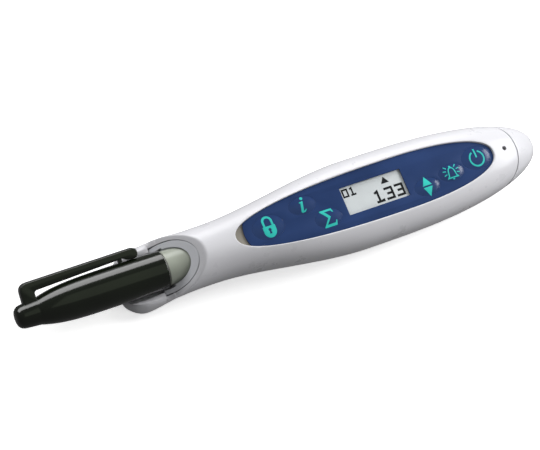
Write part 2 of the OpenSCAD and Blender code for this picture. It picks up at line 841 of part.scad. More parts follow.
module key_frame() {
    color("tan") in_frame() difference() {
        plate(panel_outline(-seat_gap), floor_h, overlay_bottom);
        for (key = KEYS) oval(key, key_clear + key_flange, floor_h - over, overlay_bottom + over);
        box([glass_front - loose_gap, -glass_half_w - loose_gap, floor_h - over],
            [glass_rear + loose_gap, glass_half_w + loose_gap, overlay_bottom + over]);
    }
}

module key_overlay() {
    front_r = panel_half_w;
    front = panel_front + overlay_setback;
    color("royalblue") in_frame() difference() {
        plate(panel_outline(-seat_gap), overlay_bottom, overlay_top);
        for (key = KEYS) oval(key, key_clear, overlay_bottom - over, overlay_top + over);
        box([display_front, -display_w / 2, overlay_bottom - over],
            [display_rear, display_w / 2, overlay_top + over]);
        difference() {
            box([panel_front - over, -front_r, overlay_bottom - over],
                [front + front_r, front_r, overlay_top + over]);
            upright([front + front_r, 0], overlay_bottom - 2 * over, overlay_top + 2 * over, front_r);
        }
    }
}

// Key with its dome, its flange under the overlay and its stem
module key(spot) {
    bottom = overlay_bottom - flange_t;
    dome_steps = 4;
    dome_turn = 80;
    a = spot[2][0];
    b = spot[2][1];
    profile = concat([[1, bottom]], [for (i = [0:dome_steps])
        let (t = dome_turn * i / dome_steps)
        [cos(t), overlay_top + key_rise * sin(t) / sin(dome_turn)]]);
    color("royalblue") in_frame() union() {
        loft([for (p = profile) [for (i = [0:ring_steps * 2 - 1])
            let (c = 180 * i / ring_steps)
            [spot[0] + a * p[0] * cos(c), spot[1] + b * p[0] * sin(c), p[1]]]]);
        oval(spot, key_flange, bottom, overlay_bottom - eps);
        upright(spot, stem_bottom, bottom + eps, stem_r);
    }
}

module lock_key() { key(KEYS[0]); }
module info_key() { key(KEYS[1]); }
module total_key() { key(KEYS[2]); }
module scroll_key() { key(KEYS[3]); }
module tone_key() { key(KEYS[4]); }
module power_key() { key(KEYS[5]); }

module display_window() {
    color("lightgray", 0.6) in_frame()
        box([display_front + eps, -display_w / 2 + eps, overlay_bottom],
            [display_rear - eps, display_w / 2 - eps, overlay_top]);
}

module display_glass() {
    color("darkseagreen") in_frame()
        box([glass_front, -glass_half_w, glass_bottom], [glass_rear, glass_half_w, glass_bottom + glass_t]);
}

module display_connectors() {
    inset = 0.5;
    color("pink") in_frame() for (side = [-1, 1])
        translate([glass_front + inset, side * (glass_half_w - connector_w) - connector_w / 2, board_top])
            cube([glass_rear - glass_front - 2 * inset, connector_w, connector_h]);
}

module main_board() {
    color("seagreen") in_frame() difference() {
        plate(board_outline(), board_bottom, board_top);
        for (p = post_spots) upright(p, board_bottom - over, board_top + over, post_r + loose_gap);
        for (p = board_screw_spots)
            upright(p, board_bottom - over, board_top + over, board_screw_r + seat_gap);
    }
}

module board_screws() {
    color("silver") in_frame() for (p = board_screw_spots) {
        upright(p, board_bottom - board_head, board_bottom, board_head_r);
        upright(p, board_bottom - eps, floor_h - 2 * loose_gap, board_screw_r);
    }
}

module dome_contacts() {
    color("gold") in_frame() for (key = KEYS)
        translate([key[0], key[1], board_top]) cylinder(h = dome_h, r1 = dome_r, r2 = stem_r);
}

module controller_chip() {
    edge = board_w / 2 - chip_inset;
    front = panel_mid - 2 * chip_len;
    color("#222222") in_frame()
        box([front, edge - chip_w, board_bottom - chip_t], [front + chip_len, edge, board_bottom]);
}

module sounder() {
    color("gold") in_frame() upright([sounder_s, 0], seat_bottom - sounder_t, seat_bottom, sounder_d / 2);
}

module battery_cell() {
    nub_r = 1.9;
    edge = 0.5;
    can_front = cell_front + cell_nub;
    color("goldenrod") in_frame() translate([0, 0, cell_h]) turned([[cell_front, 0], [cell_front, nub_r],
        [can_front, nub_r], [can_front, cell_r - edge], [can_front + edge, cell_r],
        [cell_rear - edge, cell_r], [cell_rear, cell_r - edge], [cell_rear, 0]]);
}

module positive_contact() {
    half_w = 3;
    color("silver") in_frame() box([bulkhead_rear, -half_w, cell_h - half_w],
        [bulkhead_rear + plate_t, half_w, cell_h + bulkhead_over - seat_gap]);
}

module negative_strip() {
    half_w = 2;
    lap = 8;
    top = board_bottom - eps;
    color("silver") in_frame() box([board_rear - lap, -half_w, top - plate_t],
        [seam - skirt_len - loose_gap, half_w, top]);
}

module contact_spring() {
    ends = [cell_rear + wire_r + seat_gap, pocket_end - wire_r - eps];
    color("silver") in_frame() translate([0, 0, cell_h])
        coil(ends[0], ends[1], contact_tip_r, contact_r, contact_turns);
}

upper_housing();
lower_housing();
end_cap();
guide_bush();
housing_screws();
pen_holder();
retaining_ring();
grip_ring();
return_spring();
count_switch();
switch_plunger();
marker_barrel();
barrel_plug();
nib_section();
marker_nib();
ink_reservoir();
marker_cap();
key_frame();
key_overlay();
lock_key();
info_key();
total_key();
scroll_key();
tone_key();
power_key();
display_window();
display_glass();
display_connectors();
main_board();
board_screws();
dome_contacts();
controller_chip();
sounder();
battery_cell();
positive_contact();
negative_strip();
contact_spring();
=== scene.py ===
"""Looks of the colony counter pen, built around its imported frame.

Stations run along the marker's axis from the scoop's lip, sideways is across the pen and heights start at the
marker's axis. Sizes are in millimetres until place() turns them into the frame's metres.
"""
import math

import bmesh
import bpy
import numpy as np
from mathutils import Matrix, Vector


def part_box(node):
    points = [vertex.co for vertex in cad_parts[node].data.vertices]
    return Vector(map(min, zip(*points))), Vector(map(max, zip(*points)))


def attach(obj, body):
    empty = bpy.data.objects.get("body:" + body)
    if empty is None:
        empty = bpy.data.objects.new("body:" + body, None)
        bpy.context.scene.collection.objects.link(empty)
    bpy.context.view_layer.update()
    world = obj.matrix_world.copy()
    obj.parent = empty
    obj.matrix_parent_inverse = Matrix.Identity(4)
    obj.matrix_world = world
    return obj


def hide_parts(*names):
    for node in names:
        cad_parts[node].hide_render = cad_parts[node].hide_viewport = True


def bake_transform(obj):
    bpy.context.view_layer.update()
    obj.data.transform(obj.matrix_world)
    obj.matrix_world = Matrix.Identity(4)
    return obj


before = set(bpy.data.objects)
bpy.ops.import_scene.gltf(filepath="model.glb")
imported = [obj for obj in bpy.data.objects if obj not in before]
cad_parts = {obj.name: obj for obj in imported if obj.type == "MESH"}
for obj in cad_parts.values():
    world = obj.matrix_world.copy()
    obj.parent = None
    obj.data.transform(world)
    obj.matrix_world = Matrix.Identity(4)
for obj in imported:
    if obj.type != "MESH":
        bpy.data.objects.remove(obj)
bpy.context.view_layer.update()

MM = 0.001
SHARP_ANGLE, CARRIED_SHARP_ANGLE = math.radians(38), math.radians(25)
WELD = 0.0005
CUT_OVER = 1.0
POST_STEPS, BARREL_STEPS, CAP_STEPS = 32, 96, 128

# Where the frame has the axis and the lip of the scoop
LIP_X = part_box("lower_housing")[0].x / MM
AXIS_Z = (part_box("marker_barrel")[0].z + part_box("marker_barrel")[1].z) / 2 / MM

# Body: sizes of its section, stations where its forms start and end, and powers of its curves
NECK_R, NECK_BORE_R, SCOOP_BORE_R, SCOOP_REAR = 10.1, 8.8, 7.3, 14.2
HALF_W, CROWN, NECK_RISE = 16.0, 12.8, 10.4
DEPTH, NECK_DEPTH, BELLY, BELLY_SOFT = 11.3, 10.3, 10.5, 0.25
WALL, ROOF_WALL, BELLY_WALL = 1.6, 1.9, 2.9
BODY_LEN, SEAM, SEAM_R, SEAM_GAP = 164.0, 153.0, 16.0, 0.25
NECK_END, BODY_START, RISE_START, RISE_END, TAIL_START = 32.0, 90.0, 22.0, 64.0, 100.0
FLARE, FLARE_END, LIP_CORNER = 1.1, 28.0, 4.7
PLAN_POWER, SIDE_POWER, BODY_POWER = 2.3, 3.2, 2.6
BEVEL_START, BEVEL_SLOPE = 17.0, math.tan(math.radians(48.5))
CAVITY_START, CAVITY_TAPER = 41.4, 0.3
SOUND_HOLE_S, SOUND_HOLE_R = 147.95, 0.9

# Panel, keys (station, side and half size of each) and display
PANEL_FRONT, PANEL_MID, PANEL_REAR, PANEL_HALF_W = 40.3, 103.2, 142.9, 9.7
SEAT_BOTTOM, FLOOR_H, OVERLAY_BOTTOM, OVERLAY_TOP = 8.1, 9.3, 10.1, 10.7
SEAT_MARGIN, SEAT_FRONT, SHEET_GAP, GLASS_GAP = 2.0, 40.0, 0.1, 0.3
OVERLAY_FRONT = 43.6
KEY_RISE = 0.45
LARGE_KEY, SMALL_KEY = (5.85, 4.2), (5.0, 3.15)
KEYS = {
    "lock": (52.6, 0.0, LARGE_KEY),
    "info": (66.9, 3.5, SMALL_KEY),
    "total": (74.2, -3.5, SMALL_KEY),
    "scroll": (113.5, -4.2, SMALL_KEY),
    "tone": (124.4, -2.1, SMALL_KEY),
    "power": (135.9, 0.0, LARGE_KEY),
}
STEM_R, STEM_HOLE_R, STEM_BOTTOM, KEY_FLANGE = 1.4, 1.8, 8.5, 0.3
WINDOW_FRONT, WINDOW_REAR, WINDOW_HALF_W = 82.0, 106.2, 5.05
GLASS_FRONT, GLASS_REAR, GLASS_HALF_W, GLASS_TOP = 81.2, 107.0, 6.35, 9.9

# Posts and screws of the housing
POST_SPOTS = [(s, y) for s in (80.0, 126.0) for y in (-9.4, 9.4)]
POST_R, POST_TOP, POST_BOTTOM, UPPER_POST_FOOT, LOWER_POST_HEAD = 2.3, 8.5, -8.3, 0.3, -0.1
SCREW_R, SCREW_END, HEAD_R, HEAD_SEAT = 0.95, 6.0, 1.7, -5.5

# Camera of the photograph, for an image 540 pixels wide
IMAGE_W, FOCAL_PX, SENSOR = 540, 1500, 36.0
CAMERA_EYE = (-191.3, -92.2, 482.5)
CAMERA_ANGLES = (10.61, -21.39, -22.65)
CAMERA_NEAR, CAMERA_FAR = 0.01, 20


# Shape of the body

def smooth(a, b, s):
    """Soft step from 0 at a to 1 at b."""
    t = np.clip((np.asarray(s, float) - a) / (b - a), 0, 1)
    return t * t * (3 - 2 * t)


def tail(s, power):
    """Share of the full section that is left at a station towards the tail's end."""
    t = np.clip((np.asarray(s, float) - TAIL_START) / (BODY_LEN - TAIL_START), 0, 1)
    return (1 - t ** power) ** (1 / power)


def signed_pow(v, p):
    return np.sign(v) * np.abs(v) ** p


def out_w(s):
    """Half width of the outside, with the neck's flare towards the scoop."""
    flare = FLARE * (1 - smooth(LIP_CORNER, FLARE_END, s))
    return (NECK_R + (HALF_W - NECK_R) * smooth(NECK_END, BODY_START, s) + flare) * tail(s, PLAN_POWER)


def out_rise(s):
    return (NECK_RISE + (CROWN - NECK_RISE) * smooth(RISE_START, RISE_END, s)) * tail(s, SIDE_POWER)


def out_depth(s):
    return (NECK_DEPTH + (DEPTH - NECK_DEPTH) * smooth(RISE_START, RISE_END, s)) * tail(s, SIDE_POWER)


def power_at(s):
    """Power of the superellipse section: round at the neck, fuller along the body."""
    return 2 + (BODY_POWER - 2) * smooth(RISE_START, RISE_END, s)


def hollow(s, outside, wall):
    """Half size of the hollow: the bores at the front, then a cavity that widens until the wall stops it."""
    bore = np.where(s < SCOOP_REAR, SCOOP_BORE_R, NECK_BORE_R)
    limit = NECK_BORE_R + np.maximum(0, s - CAVITY_START) * CAVITY_TAPER
    return np.where(s < CAVITY_START, bore, np.minimum(outside - wall, limit))


def in_w(s):
    return hollow(s, out_w(s), WALL)


def in_rise(s):
    return hollow(s, out_rise(s), ROOF_WALL)


def in_depth(s):
    return hollow(s, out_depth(s), BELLY_WALL)


def crown_at(s, y):
    """Height of the upper shell's outside at a place in plan."""
    n = power_at(s)
    return out_rise(s) * np.maximum(0, 1 - np.minimum(1, np.abs(y) / out_w(s)) ** n) ** (1 / n)


def flattened(h):
    """Heights with the belly cut flat, with a soft edge."""
    over = np.clip(0.5 + 0.5 * (h + BELLY) / BELLY_SOFT, 0, 1)
    return np.maximum(-BELLY, -BELLY * (1 - over) + h * over + BELLY_SOFT * over * (1 - over) / 2)


def seam_at(y, gap=0.0):
    """Station of the curved seam at a place across the pen."""
    return SEAM - SEAM_R + gap + np.sqrt(SEAM_R ** 2 - np.asarray(y, float) ** 2)


# Mesh helpers

# Share of a line that a rounding may take: of one with a single corner, and of one between two corners
END_SHARE, MIDDLE_SHARE = 0.98, 0.49


def place(points):
    """Points in the frame's metres, from stations, sides and heights."""
    return (np.asarray(points, float) + (LIP_X, 0, AXIS_Z)) * MM


def add_object(name, data):
    obj = bpy.data.objects.new(name, data)
    bpy.context.scene.collection.objects.link(obj)
    return obj


def evaluated_mesh(obj):
    return bpy.data.meshes.new_from_object(obj.evaluated_get(bpy.context.evaluated_depsgraph_get()))


def shade_smooth(mesh, sharp):
    mesh.polygons.foreach_set("use_smooth", [True] * len(mesh.polygons))
    mesh.set_sharp_from_angle(angle=sharp)


def finish_mesh(mesh):
    work = bmesh.new()
    work.from_mesh(mesh)
    bmesh.ops.recalc_face_normals(work, faces=work.faces)
    work.to_mesh(mesh)
    work.free()
    shade_smooth(mesh, SHARP_ANGLE)
    mesh.update()


def weld(mesh):
    work = bmesh.new()
    work.from_mesh(mesh)
    bmesh.ops.remove_doubles(work, verts=work.verts, dist=WELD * MM)
    work.to_mesh(mesh)
    work.free()


def new_object(name, points, faces):
    mesh = bpy.data.meshes.new(name)
    mesh.from_pydata(place(points).tolist(), [], faces)
    finish_mesh(mesh)
    return add_object(name, mesh)


def dress(obj, material, body, slot, *stands_for):
    """Gives a piece its material and its body, and the nodes that it replaces. The slot is not used."""
    obj.data.materials.clear()
    obj.data.materials.append(material)
    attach(obj, body)
    if stands_for:
        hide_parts(*stands_for)
    return obj


def loft(rings):
    """Points and faces of a closed solid through rings of equal length."""
    rings = [np.asarray(r, float) for r in rings]
    n, m = len(rings[0]), len(rings)
    faces = [(i * n + j, i * n + (j + 1) % n, (i + 1) * n + (j + 1) % n, (i + 1) * n + j)
             for i in range(m - 1) for j in range(n)]
    faces += [tuple(range(n)), tuple(range((m - 1) * n, m * n))]
    return np.concatenate(rings), faces


def join_parts(parts):
    points, faces, first = [], [], 0
    for part_points, part_faces in parts:
        points.append(np.asarray(part_points, float))
        faces += [tuple(first + i for i in face) for face in part_faces]
        first += len(part_points)
    return np.concatenate(points), faces


def bezier(a, corner, b, steps):
    """Rounding from a to b around a corner, without its first point."""
    u = [(i + 1) / steps for i in range(steps)]
    return [(1 - t) ** 2 * a + 2 * t * (1 - t) * corner + t * t * b for t in u]


def rounded(profile, steps):
    """Open outline with its inner corners rounded, by the radius that each gives as a third number."""
    points = [np.asarray(p[:2], float) for p in profile]
    last = len(points) - 1
    out = [points[0]]
    for i in range(1, last):
        corner = points[i]
        before, after = points[i - 1] - corner, points[i + 1] - corner
        lengths = np.linalg.norm(before), np.linalg.norm(after)
        room_before = lengths[0] * (END_SHARE if i == 1 else MIDDLE_SHARE)
        room_after = lengths[1] * (END_SHARE if i == last - 1 else MIDDLE_SHARE)
        r = min(profile[i][2], room_before, room_after)
        a, b = corner + before / lengths[0] * r, corner + after / lengths[1] * r
        out += [a] + bezier(a, corner, b, steps)
    return out + [points[-1]]


def ring_angles(steps):
    return np.arange(steps) * 2 * math.pi / steps


def at_height(plan, h):
    return np.column_stack([plan, np.full(len(plan), h)])


def at_station(ring, s):
    return np.column_stack([np.full(len(ring), s), ring[:, 1:]])


def ellipse(spot, half, steps):
    a = ring_angles(steps)
    return np.stack([spot[0] + half[0] * np.cos(a), spot[1] + half[1] * np.sin(a)], 1)


def rectangle(front, rear, half_w):
    return [(front, -half_w), (rear, -half_w), (rear, half_w), (front, half_w)]


def turned(profile, steps):
    """Solid of revolution about the axis, from station and radius points."""
    a = ring_angles(steps)
    return loft([np.stack([np.full(steps, s), r * np.cos(a), r * np.sin(a)], 1) for s, r in profile])


def upright(spot, bottom, top, r):
    ring = ellipse(spot, (r, r), POST_STEPS)
    return loft([at_height(ring, h) for h in (bottom, top)])


def block(outline, bottom, top):
    return loft([at_height(outline, h) for h in (bottom, top)])


def carve(obj, operation, parts):
    """Joins solids to a piece or cuts them out of it."""
    tool = new_object(obj.name + "_tool", *join_parts(parts))
    modifier = obj.modifiers.new("carve", "BOOLEAN")
    modifier.operation = operation
    modifier.solver = "MANIFOLD"
    modifier.object = tool
    result = evaluated_mesh(obj)
    obj.modifiers.clear()
    obj.data = result
    bpy.data.objects.remove(tool)
    finish_mesh(result)


# Materials

NOISE_DETAIL, RAMP_START, RAMP_END = 3.0, 0.3, 0.7
GLOSS_SPREAD, GLOSS_SCALE = 0.03, 2.7
GRAIN_DEPTH, COAT_ROUGHNESS = 0.05, 0.12
PANEL_COLOR = (0.017, 0.036, 0.106)


def noise(nodes, links, scale):
    place_node = nodes.new("ShaderNodeTexCoord")
    texture = nodes.new("ShaderNodeTexNoise")
    texture.inputs["Scale"].default_value = scale
    texture.inputs["Detail"].default_value = NOISE_DETAIL
    links.new(place_node.outputs["Object"], texture.inputs["Vector"])
    return texture.outputs["Fac"]


def ramp(nodes, links, value, low, high):
    node = nodes.new("ShaderNodeValToRGB")
    first, last = node.color_ramp.elements
    first.position, last.position = RAMP_START, RAMP_END
    first.color, last.color = low, high
    links.new(value, node.inputs["Fac"])
    return node.outputs["Color"]


def surface(name, color, roughness, variation=0.05, mottle=120.0, grain=2500.0, bump=0.04, metallic=0.0,
            specular=0.5, coat=0.0, alpha=1.0, glow=0.0):
    """Moulded or rolled surface: a little colour mottle, uneven gloss and a fine grain."""
    material = bpy.data.materials.new(name)
    material.use_nodes = True
    nodes, links = material.node_tree.nodes, material.node_tree.links
    shader = nodes["Principled BSDF"]
    low = tuple(c * (1 - variation) for c in color) + (1,)
    high = tuple(min(1, c * (1 + variation)) for c in color) + (1,)
    links.new(ramp(nodes, links, noise(nodes, links, mottle), low, high), shader.inputs["Base Color"])
    spread = roughness * GLOSS_SPREAD
    dull, shiny = (roughness + spread,) * 3 + (1,), (roughness - spread,) * 3 + (1,)
    gloss = ramp(nodes, links, noise(nodes, links, mottle * GLOSS_SCALE), shiny, dull)
    links.new(gloss, shader.inputs["Roughness"])
    relief = nodes.new("ShaderNodeBump")
    relief.inputs["Strength"].default_value = bump
    relief.inputs["Distance"].default_value = GRAIN_DEPTH * MM
    links.new(noise(nodes, links, grain), relief.inputs["Height"])
    links.new(relief.outputs["Normal"], shader.inputs["Normal"])
    shader.inputs["Metallic"].default_value = metallic
    shader.inputs["Specular IOR Level"].default_value = specular
    shader.inputs["Coat Weight"].default_value = coat
    shader.inputs["Coat Roughness"].default_value = COAT_ROUGHNESS
    shader.inputs["Alpha"].default_value = alpha
    shader.inputs["Emission Color"].default_value = (1, 1, 1, 1)
    shader.inputs["Emission Strength"].default_value = glow
    return material


LOOKS = {
    "white_shell": dict(color=(0.55, 0.55, 0.575), roughness=0.28, variation=0.008, mottle=60, grain=1800,
                        bump=0.015, specular=0.35, coat=0.05),
    "holder_white": dict(color=(0.54, 0.55, 0.58), roughness=0.36, variation=0.03, mottle=90, grain=2200,
                         bump=0.05),
    "bearing_plastic": dict(color=(0.68, 0.68, 0.66), roughness=0.45),
    "steel": dict(color=(0.72, 0.72, 0.73), roughness=0.28, variation=0.06, mottle=300, grain=3000, bump=0.08,
                  metallic=1.0),
    "black_rubber": dict(color=(0.02, 0.02, 0.02), roughness=0.7, variation=0.2),
    "dark_plastic": dict(color=(0.05, 0.05, 0.06), roughness=0.42, variation=0.15),
    "red_plastic": dict(color=(0.45, 0.06, 0.05), roughness=0.4),
    "barrel_grey": dict(color=(0.27, 0.29, 0.245), roughness=0.34, mottle=140, grain=2400, coat=0.1),
    "felt": dict(color=(0.03, 0.03, 0.035), roughness=0.9, variation=0.3, mottle=900, grain=5000, bump=0.5),
    "cap_black": dict(color=(0.004, 0.006, 0.003), roughness=0.15, variation=0.2, mottle=90, grain=1600,
                      bump=0.02, coat=0.5),
    "frame_beige": dict(color=(0.21, 0.195, 0.165), roughness=0.5, variation=0.08, mottle=160, grain=2600,
                        bump=0.08, specular=0.2),
    "panel_blue": dict(color=PANEL_COLOR, roughness=0.42, variation=0.14, mottle=45, grain=2600, bump=0.16,
                       specular=0.07),
    "key_blue": dict(color=PANEL_COLOR, roughness=0.15, variation=0.14, mottle=45, grain=2600, bump=0.06,
                     specular=0.25),
    "window_clear": dict(color=(0.20, 0.22, 0.22), roughness=0.2, variation=0.02, specular=0.1, alpha=0.03),
    "display_grey": dict(color=(0.50, 0.53, 0.54), roughness=0.45, variation=0.03, mottle=260, grain=3200,
                         bump=0.03),
    "connector_rubber": dict(color=(0.55, 0.36, 0.38), roughness=0.6),
    "board_green": dict(color=(0.02, 0.18, 0.08), roughness=0.4, variation=0.12, mottle=220),
    "brass_disc": dict(color=(0.70, 0.55, 0.26), roughness=0.32, variation=0.08, metallic=1.0),
    "cell_jacket": dict(color=(0.50, 0.37, 0.10), roughness=0.3),
    "icon_teal": dict(color=(0.02, 0.40, 0.35), roughness=0.5, variation=0.08, mottle=300, grain=3000,
                      bump=0.06, specular=0.25),
    "segment_black": dict(color=(0.004, 0.004, 0.005), roughness=0.7, variation=0.2, mottle=500,
                          specular=0.04),
    "floor_white": dict(color=(0.9, 0.9, 0.9), roughness=0.8, variation=0.005, mottle=4, grain=300, bump=0.01,
                        specular=0.1, glow=0.5),
}
MATERIALS = {name: surface(name, **look) for name, look in LOOKS.items()}


# Upper shell: loops that run from the panel's recess over the crown to the parting plane and back inside.
# The shares say where along a loop the mouth ends and the seam starts, at the edge and at the panel.

HALF_STEPS, CROWN_RINGS, INNER_RINGS = 150, 30, 8
CROWN_SAMPLES, PANEL_SAMPLES = 120, 1500
MOUTH_SHARE, SEAM_SHARE = 0.18, 0.90
PANEL_MOUTH_SHARE, PANEL_SEAM_SHARE = 0.10, 0.93
PANEL_ROUND, SIDE_ROUND, MOUTH_ROUND, SEAM_ROUND = 0.35, 0.16, 0.7, 0.3
PANEL_ROUND_STEPS, ROUND_STEPS, ROUND_SHARE, ROUND_BLEND = 5, 5, 0.6, 4
MOUTH_PASSES, CORNER_PASSES, SEAM_PASSES = 12, 40, 60


def at_fractions(curve, fractions):
    """Points at fractions of a polyline's length."""
    steps = np.linalg.norm(np.diff(curve, axis=0), axis=1)
    along = np.concatenate([[0], np.cumsum(steps)]) / steps.sum()
    return np.stack([np.interp(fractions, along, curve[:, i]) for i in range(curve.shape[1])], 1)


def mirrored(half):
    """Closed loop from its half on the +Y side, from the front point to the rear one."""
    other = half[-2:0:-1].copy()
    other[:, 1] *= -1
    return np.concatenate([half, other])


def panel_half(grow=0.0):
    """Half of the panel's outline in plan, from its front tip to its rear one."""
    a = np.linspace(math.pi, 0, PANEL_SAMPLES)
    reach = np.where(np.cos(a) > 0, PANEL_REAR - PANEL_MID, PANEL_MID - PANEL_FRONT) + grow
    return np.stack([PANEL_MID + reach * signed_pow(np.cos(a), 2 / PLAN_POWER),
                     (PANEL_HALF_W + grow) * np.abs(np.sin(a)) ** (2 / PLAN_POWER)], 1)


def panel_loops():
    """Half loops of the recess, of its rounded rim and of the seat's underside, in plan."""
    fractions = np.interp(np.linspace(0, 1, HALF_STEPS + 1), [0, MOUTH_SHARE, SEAM_SHARE, 1],
                          [0, PANEL_MOUTH_SHARE, PANEL_SEAM_SHARE, 1])
    panel, rim, seat = (at_fractions(panel_half(grow), fractions) for grow in (0, PANEL_ROUND, SEAT_MARGIN))
    for loop in (panel, rim, seat):
        loop[[0, -1], 1] = 0
    seat[:, 0] = np.maximum(seat[:, 0], SEAT_FRONT)
    return panel, rim, seat


def mouth_stations(a, radius=None):
    """Stations of the bevelled mouth at angles above the parting plane, outside or at a bore's radius."""
    s = np.full_like(a, BEVEL_START)
    for _ in range(MOUTH_PASSES):
        h = out_rise(s) * np.sin(a) ** (2 / power_at(s)) if radius is None else radius * np.sin(a)
        s = BEVEL_START + h * BEVEL_SLOPE
    return s


def seam_corner():
    """Station where the seam meets the outline at the parting plane."""
    low, high = SEAM - SEAM_R, SEAM
    for _ in range(CORNER_PASSES):
        s = (low + high) / 2
        w = out_w(s)
        if w < SEAM_R and seam_at(w) <= s:
            high = s
        else:
            low = s
    return s


def section_angles(s, y, w_of):
    """Stations and section angles of places in plan, from the parting plane up to the crown."""
    return np.stack([s, np.arccos(np.clip((np.abs(y) / w_of(s)) ** (power_at(s) / 2), 0, 1))], 1)


def section_point(s, a, w_of, rise_of):
    n = 2 / power_at(s)
    return np.stack([s, w_of(s) * np.cos(a) ** n, rise_of(s) * np.sin(a) ** n], -1)


def upper_edges():
    """Outer and inner edge of the upper shell as stations and angles, and the outer one's rounding."""
    n_mouth = round(HALF_STEPS * MOUTH_SHARE)
    n_side = round(HALF_STEPS * (SEAM_SHARE - MOUTH_SHARE))
    n_seam = HALF_STEPS - n_mouth - n_side
    corner = seam_corner()
    a = np.linspace(math.pi / 2, 0, n_mouth + 1)[:-1]
    side = np.linspace(BEVEL_START, corner, n_side + 1)[:-1]
    y = np.linspace(out_w(corner), 0, n_seam + 1)

    def edge(radius, y, w_of):
        mouth = np.stack([mouth_stations(a, radius), a], 1)
        return np.concatenate([mouth, np.stack([side, 0 * side], 1), section_angles(seam_at(y), y, w_of)])

    outer = edge(None, y, out_w)
    inner = edge(NECK_BORE_R, y * (1 - WALL / out_w(corner)), in_w)
    inner[n_mouth + n_side, 1] = 0
    sizes = np.repeat([MOUTH_ROUND, SIDE_ROUND, SEAM_ROUND], [n_mouth, n_side, n_seam + 1])
    window = np.ones(2 * ROUND_BLEND + 1) / (2 * ROUND_BLEND + 1)
    return outer, inner, np.convolve(np.pad(sizes, ROUND_BLEND, mode="edge"), window, mode="valid")


def fan(inside, edge, w_of, rise_of, count):
    """Lines on a section surface from an inside loop to an edge loop, both as stations and angles."""
    t = np.linspace(0, 1, count)[:, None, None]
    path = inside + (edge - inside) * t
    return section_point(path[..., 0], path[..., 1], w_of, rise_of)


def crown_rings(rim, edge, round_r):
    """Rings over the crown, which stop short of the edge by its rounding, and the edge itself."""
    lines = fan(section_angles(rim[:, 0], rim[:, 1], out_w), edge, out_w, out_rise, CROWN_SAMPLES)
    top = []
    for line, radius in zip(lines.swapaxes(0, 1), round_r):
        length = np.linalg.norm(np.diff(line, axis=0), axis=1).sum()
        top.append(at_fractions(line, np.linspace(0, 1 - radius / length, CROWN_RINGS + 1)))
    return list(np.array(top).swapaxes(0, 1)), lines[-1]


def upper_rings():
    panel, rim, seat = panel_loops()
    edge, edge_in, round_r = upper_edges()
    rim_h = crown_at(rim[:, 0], rim[:, 1])
    rings = [at_height(panel, FLOOR_H)]
    for turn in np.linspace(math.pi / 2, 0, PANEL_ROUND_STEPS + 1)[:-1]:
        plan = panel + (rim - panel) * (1 - math.sin(turn))
        rings.append(at_height(plan, rim_h - PANEL_ROUND * (1 - math.cos(turn))))
    crown, outer = crown_rings(rim, edge, round_r)
    inside = fan(section_angles(seat[:, 0], seat[:, 1], in_w), edge_in, in_w, in_rise, INNER_RINGS + 1)[::-1]
    back = inside[0] - outer
    width = np.linalg.norm(back, axis=1)[:, None]
    inner_end = outer + back / width * np.minimum(round_r[:, None], ROUND_SHARE * width)
    rounding = bezier(crown[-1], outer, inner_end, ROUND_STEPS)
    return rings + crown + rounding + list(inside) + [at_height(seat, SEAT_BOTTOM)]


def upper_shell():
    shell = new_object("upper_shell", *loft([mirrored(ring) for ring in upper_rings()]))
    carve(shell, "UNION", [upright(p, UPPER_POST_FOOT, POST_TOP, POST_R) for p in POST_SPOTS])
    below, above = SEAT_BOTTOM - CUT_OVER, FLOOR_H + CUT_OVER
    opening = rectangle(GLASS_FRONT - GLASS_GAP, GLASS_REAR + GLASS_GAP, GLASS_HALF_W + GLASS_GAP)
    cuts = [upright(key, below, above, STEM_HOLE_R) for key in KEYS.values()]
    cuts.append(block(opening, below, above))
    cuts.append(upright((SOUND_HOLE_S, 0), below, CROWN + CUT_OVER, SOUND_HOLE_R))
    cuts += [upright(p, -CUT_OVER, SCREW_END, SCREW_R) for p in POST_SPOTS]
    carve(shell, "DIFFERENCE", cuts)
    dress(shell, MATERIALS["white_shell"], "housing", "white_shell", "upper_housing")


# Lower shell: an outer and an inner sheet with a rounded edge all the way round

SCOOP_ROWS, MOUTH_ROWS, BODY_ROWS, SEAM_ROWS, LOWER_STEPS, EDGE_STEPS = 34, 20, 104, 24, 96, 14
JOINT_EDGE, BORE_STEP = 0.06, 0.02
RIM_OUT, RIM_IN, RIM_PEAK_R, RIM_LEAST, RIM_POWER = 4.2, 1.2, 8.5, 0.06, 1.5
RIM_LOW, RIM_SOFT, RIM_RUN_OUT, MOUTH_END = 2.0, 1.2, (8.0, 16.0), 18.0
LIP_START, LIP_ROUND, LIP_EDGE, LIP_COLS = 0.8, 6.2, 1.6, 22
LIP_BLEND, LIP_BLEND_END, LIP_PASSES = 9, 27, 2
LIP_HALF_W = NECK_R + FLARE


def lip_at(y):
    """Station of the scoop's lip, with its corners rounded in plan."""
    past = np.maximum(0, np.abs(y) - (LIP_HALF_W - LIP_ROUND))
    return LIP_START + LIP_ROUND - np.sqrt(np.maximum(0, LIP_ROUND ** 2 - np.minimum(past, LIP_ROUND) ** 2))


def rim_share(s):
    """How much of the scoop's peaked rim is left at a station: none where the upper shell sits."""
    return 1 - smooth(*RIM_RUN_OUT, s)


def rim_height(s):
    """Height of the scoop's rim: it carries on the plane of the mouth and then levels out."""
    plane, level = (np.asarray(s, float) - BEVEL_START) / BEVEL_SLOPE, -RIM_LOW
    return np.minimum(0, (plane + level + np.sqrt((plane - level) ** 2 + RIM_SOFT ** 2)) / 2)


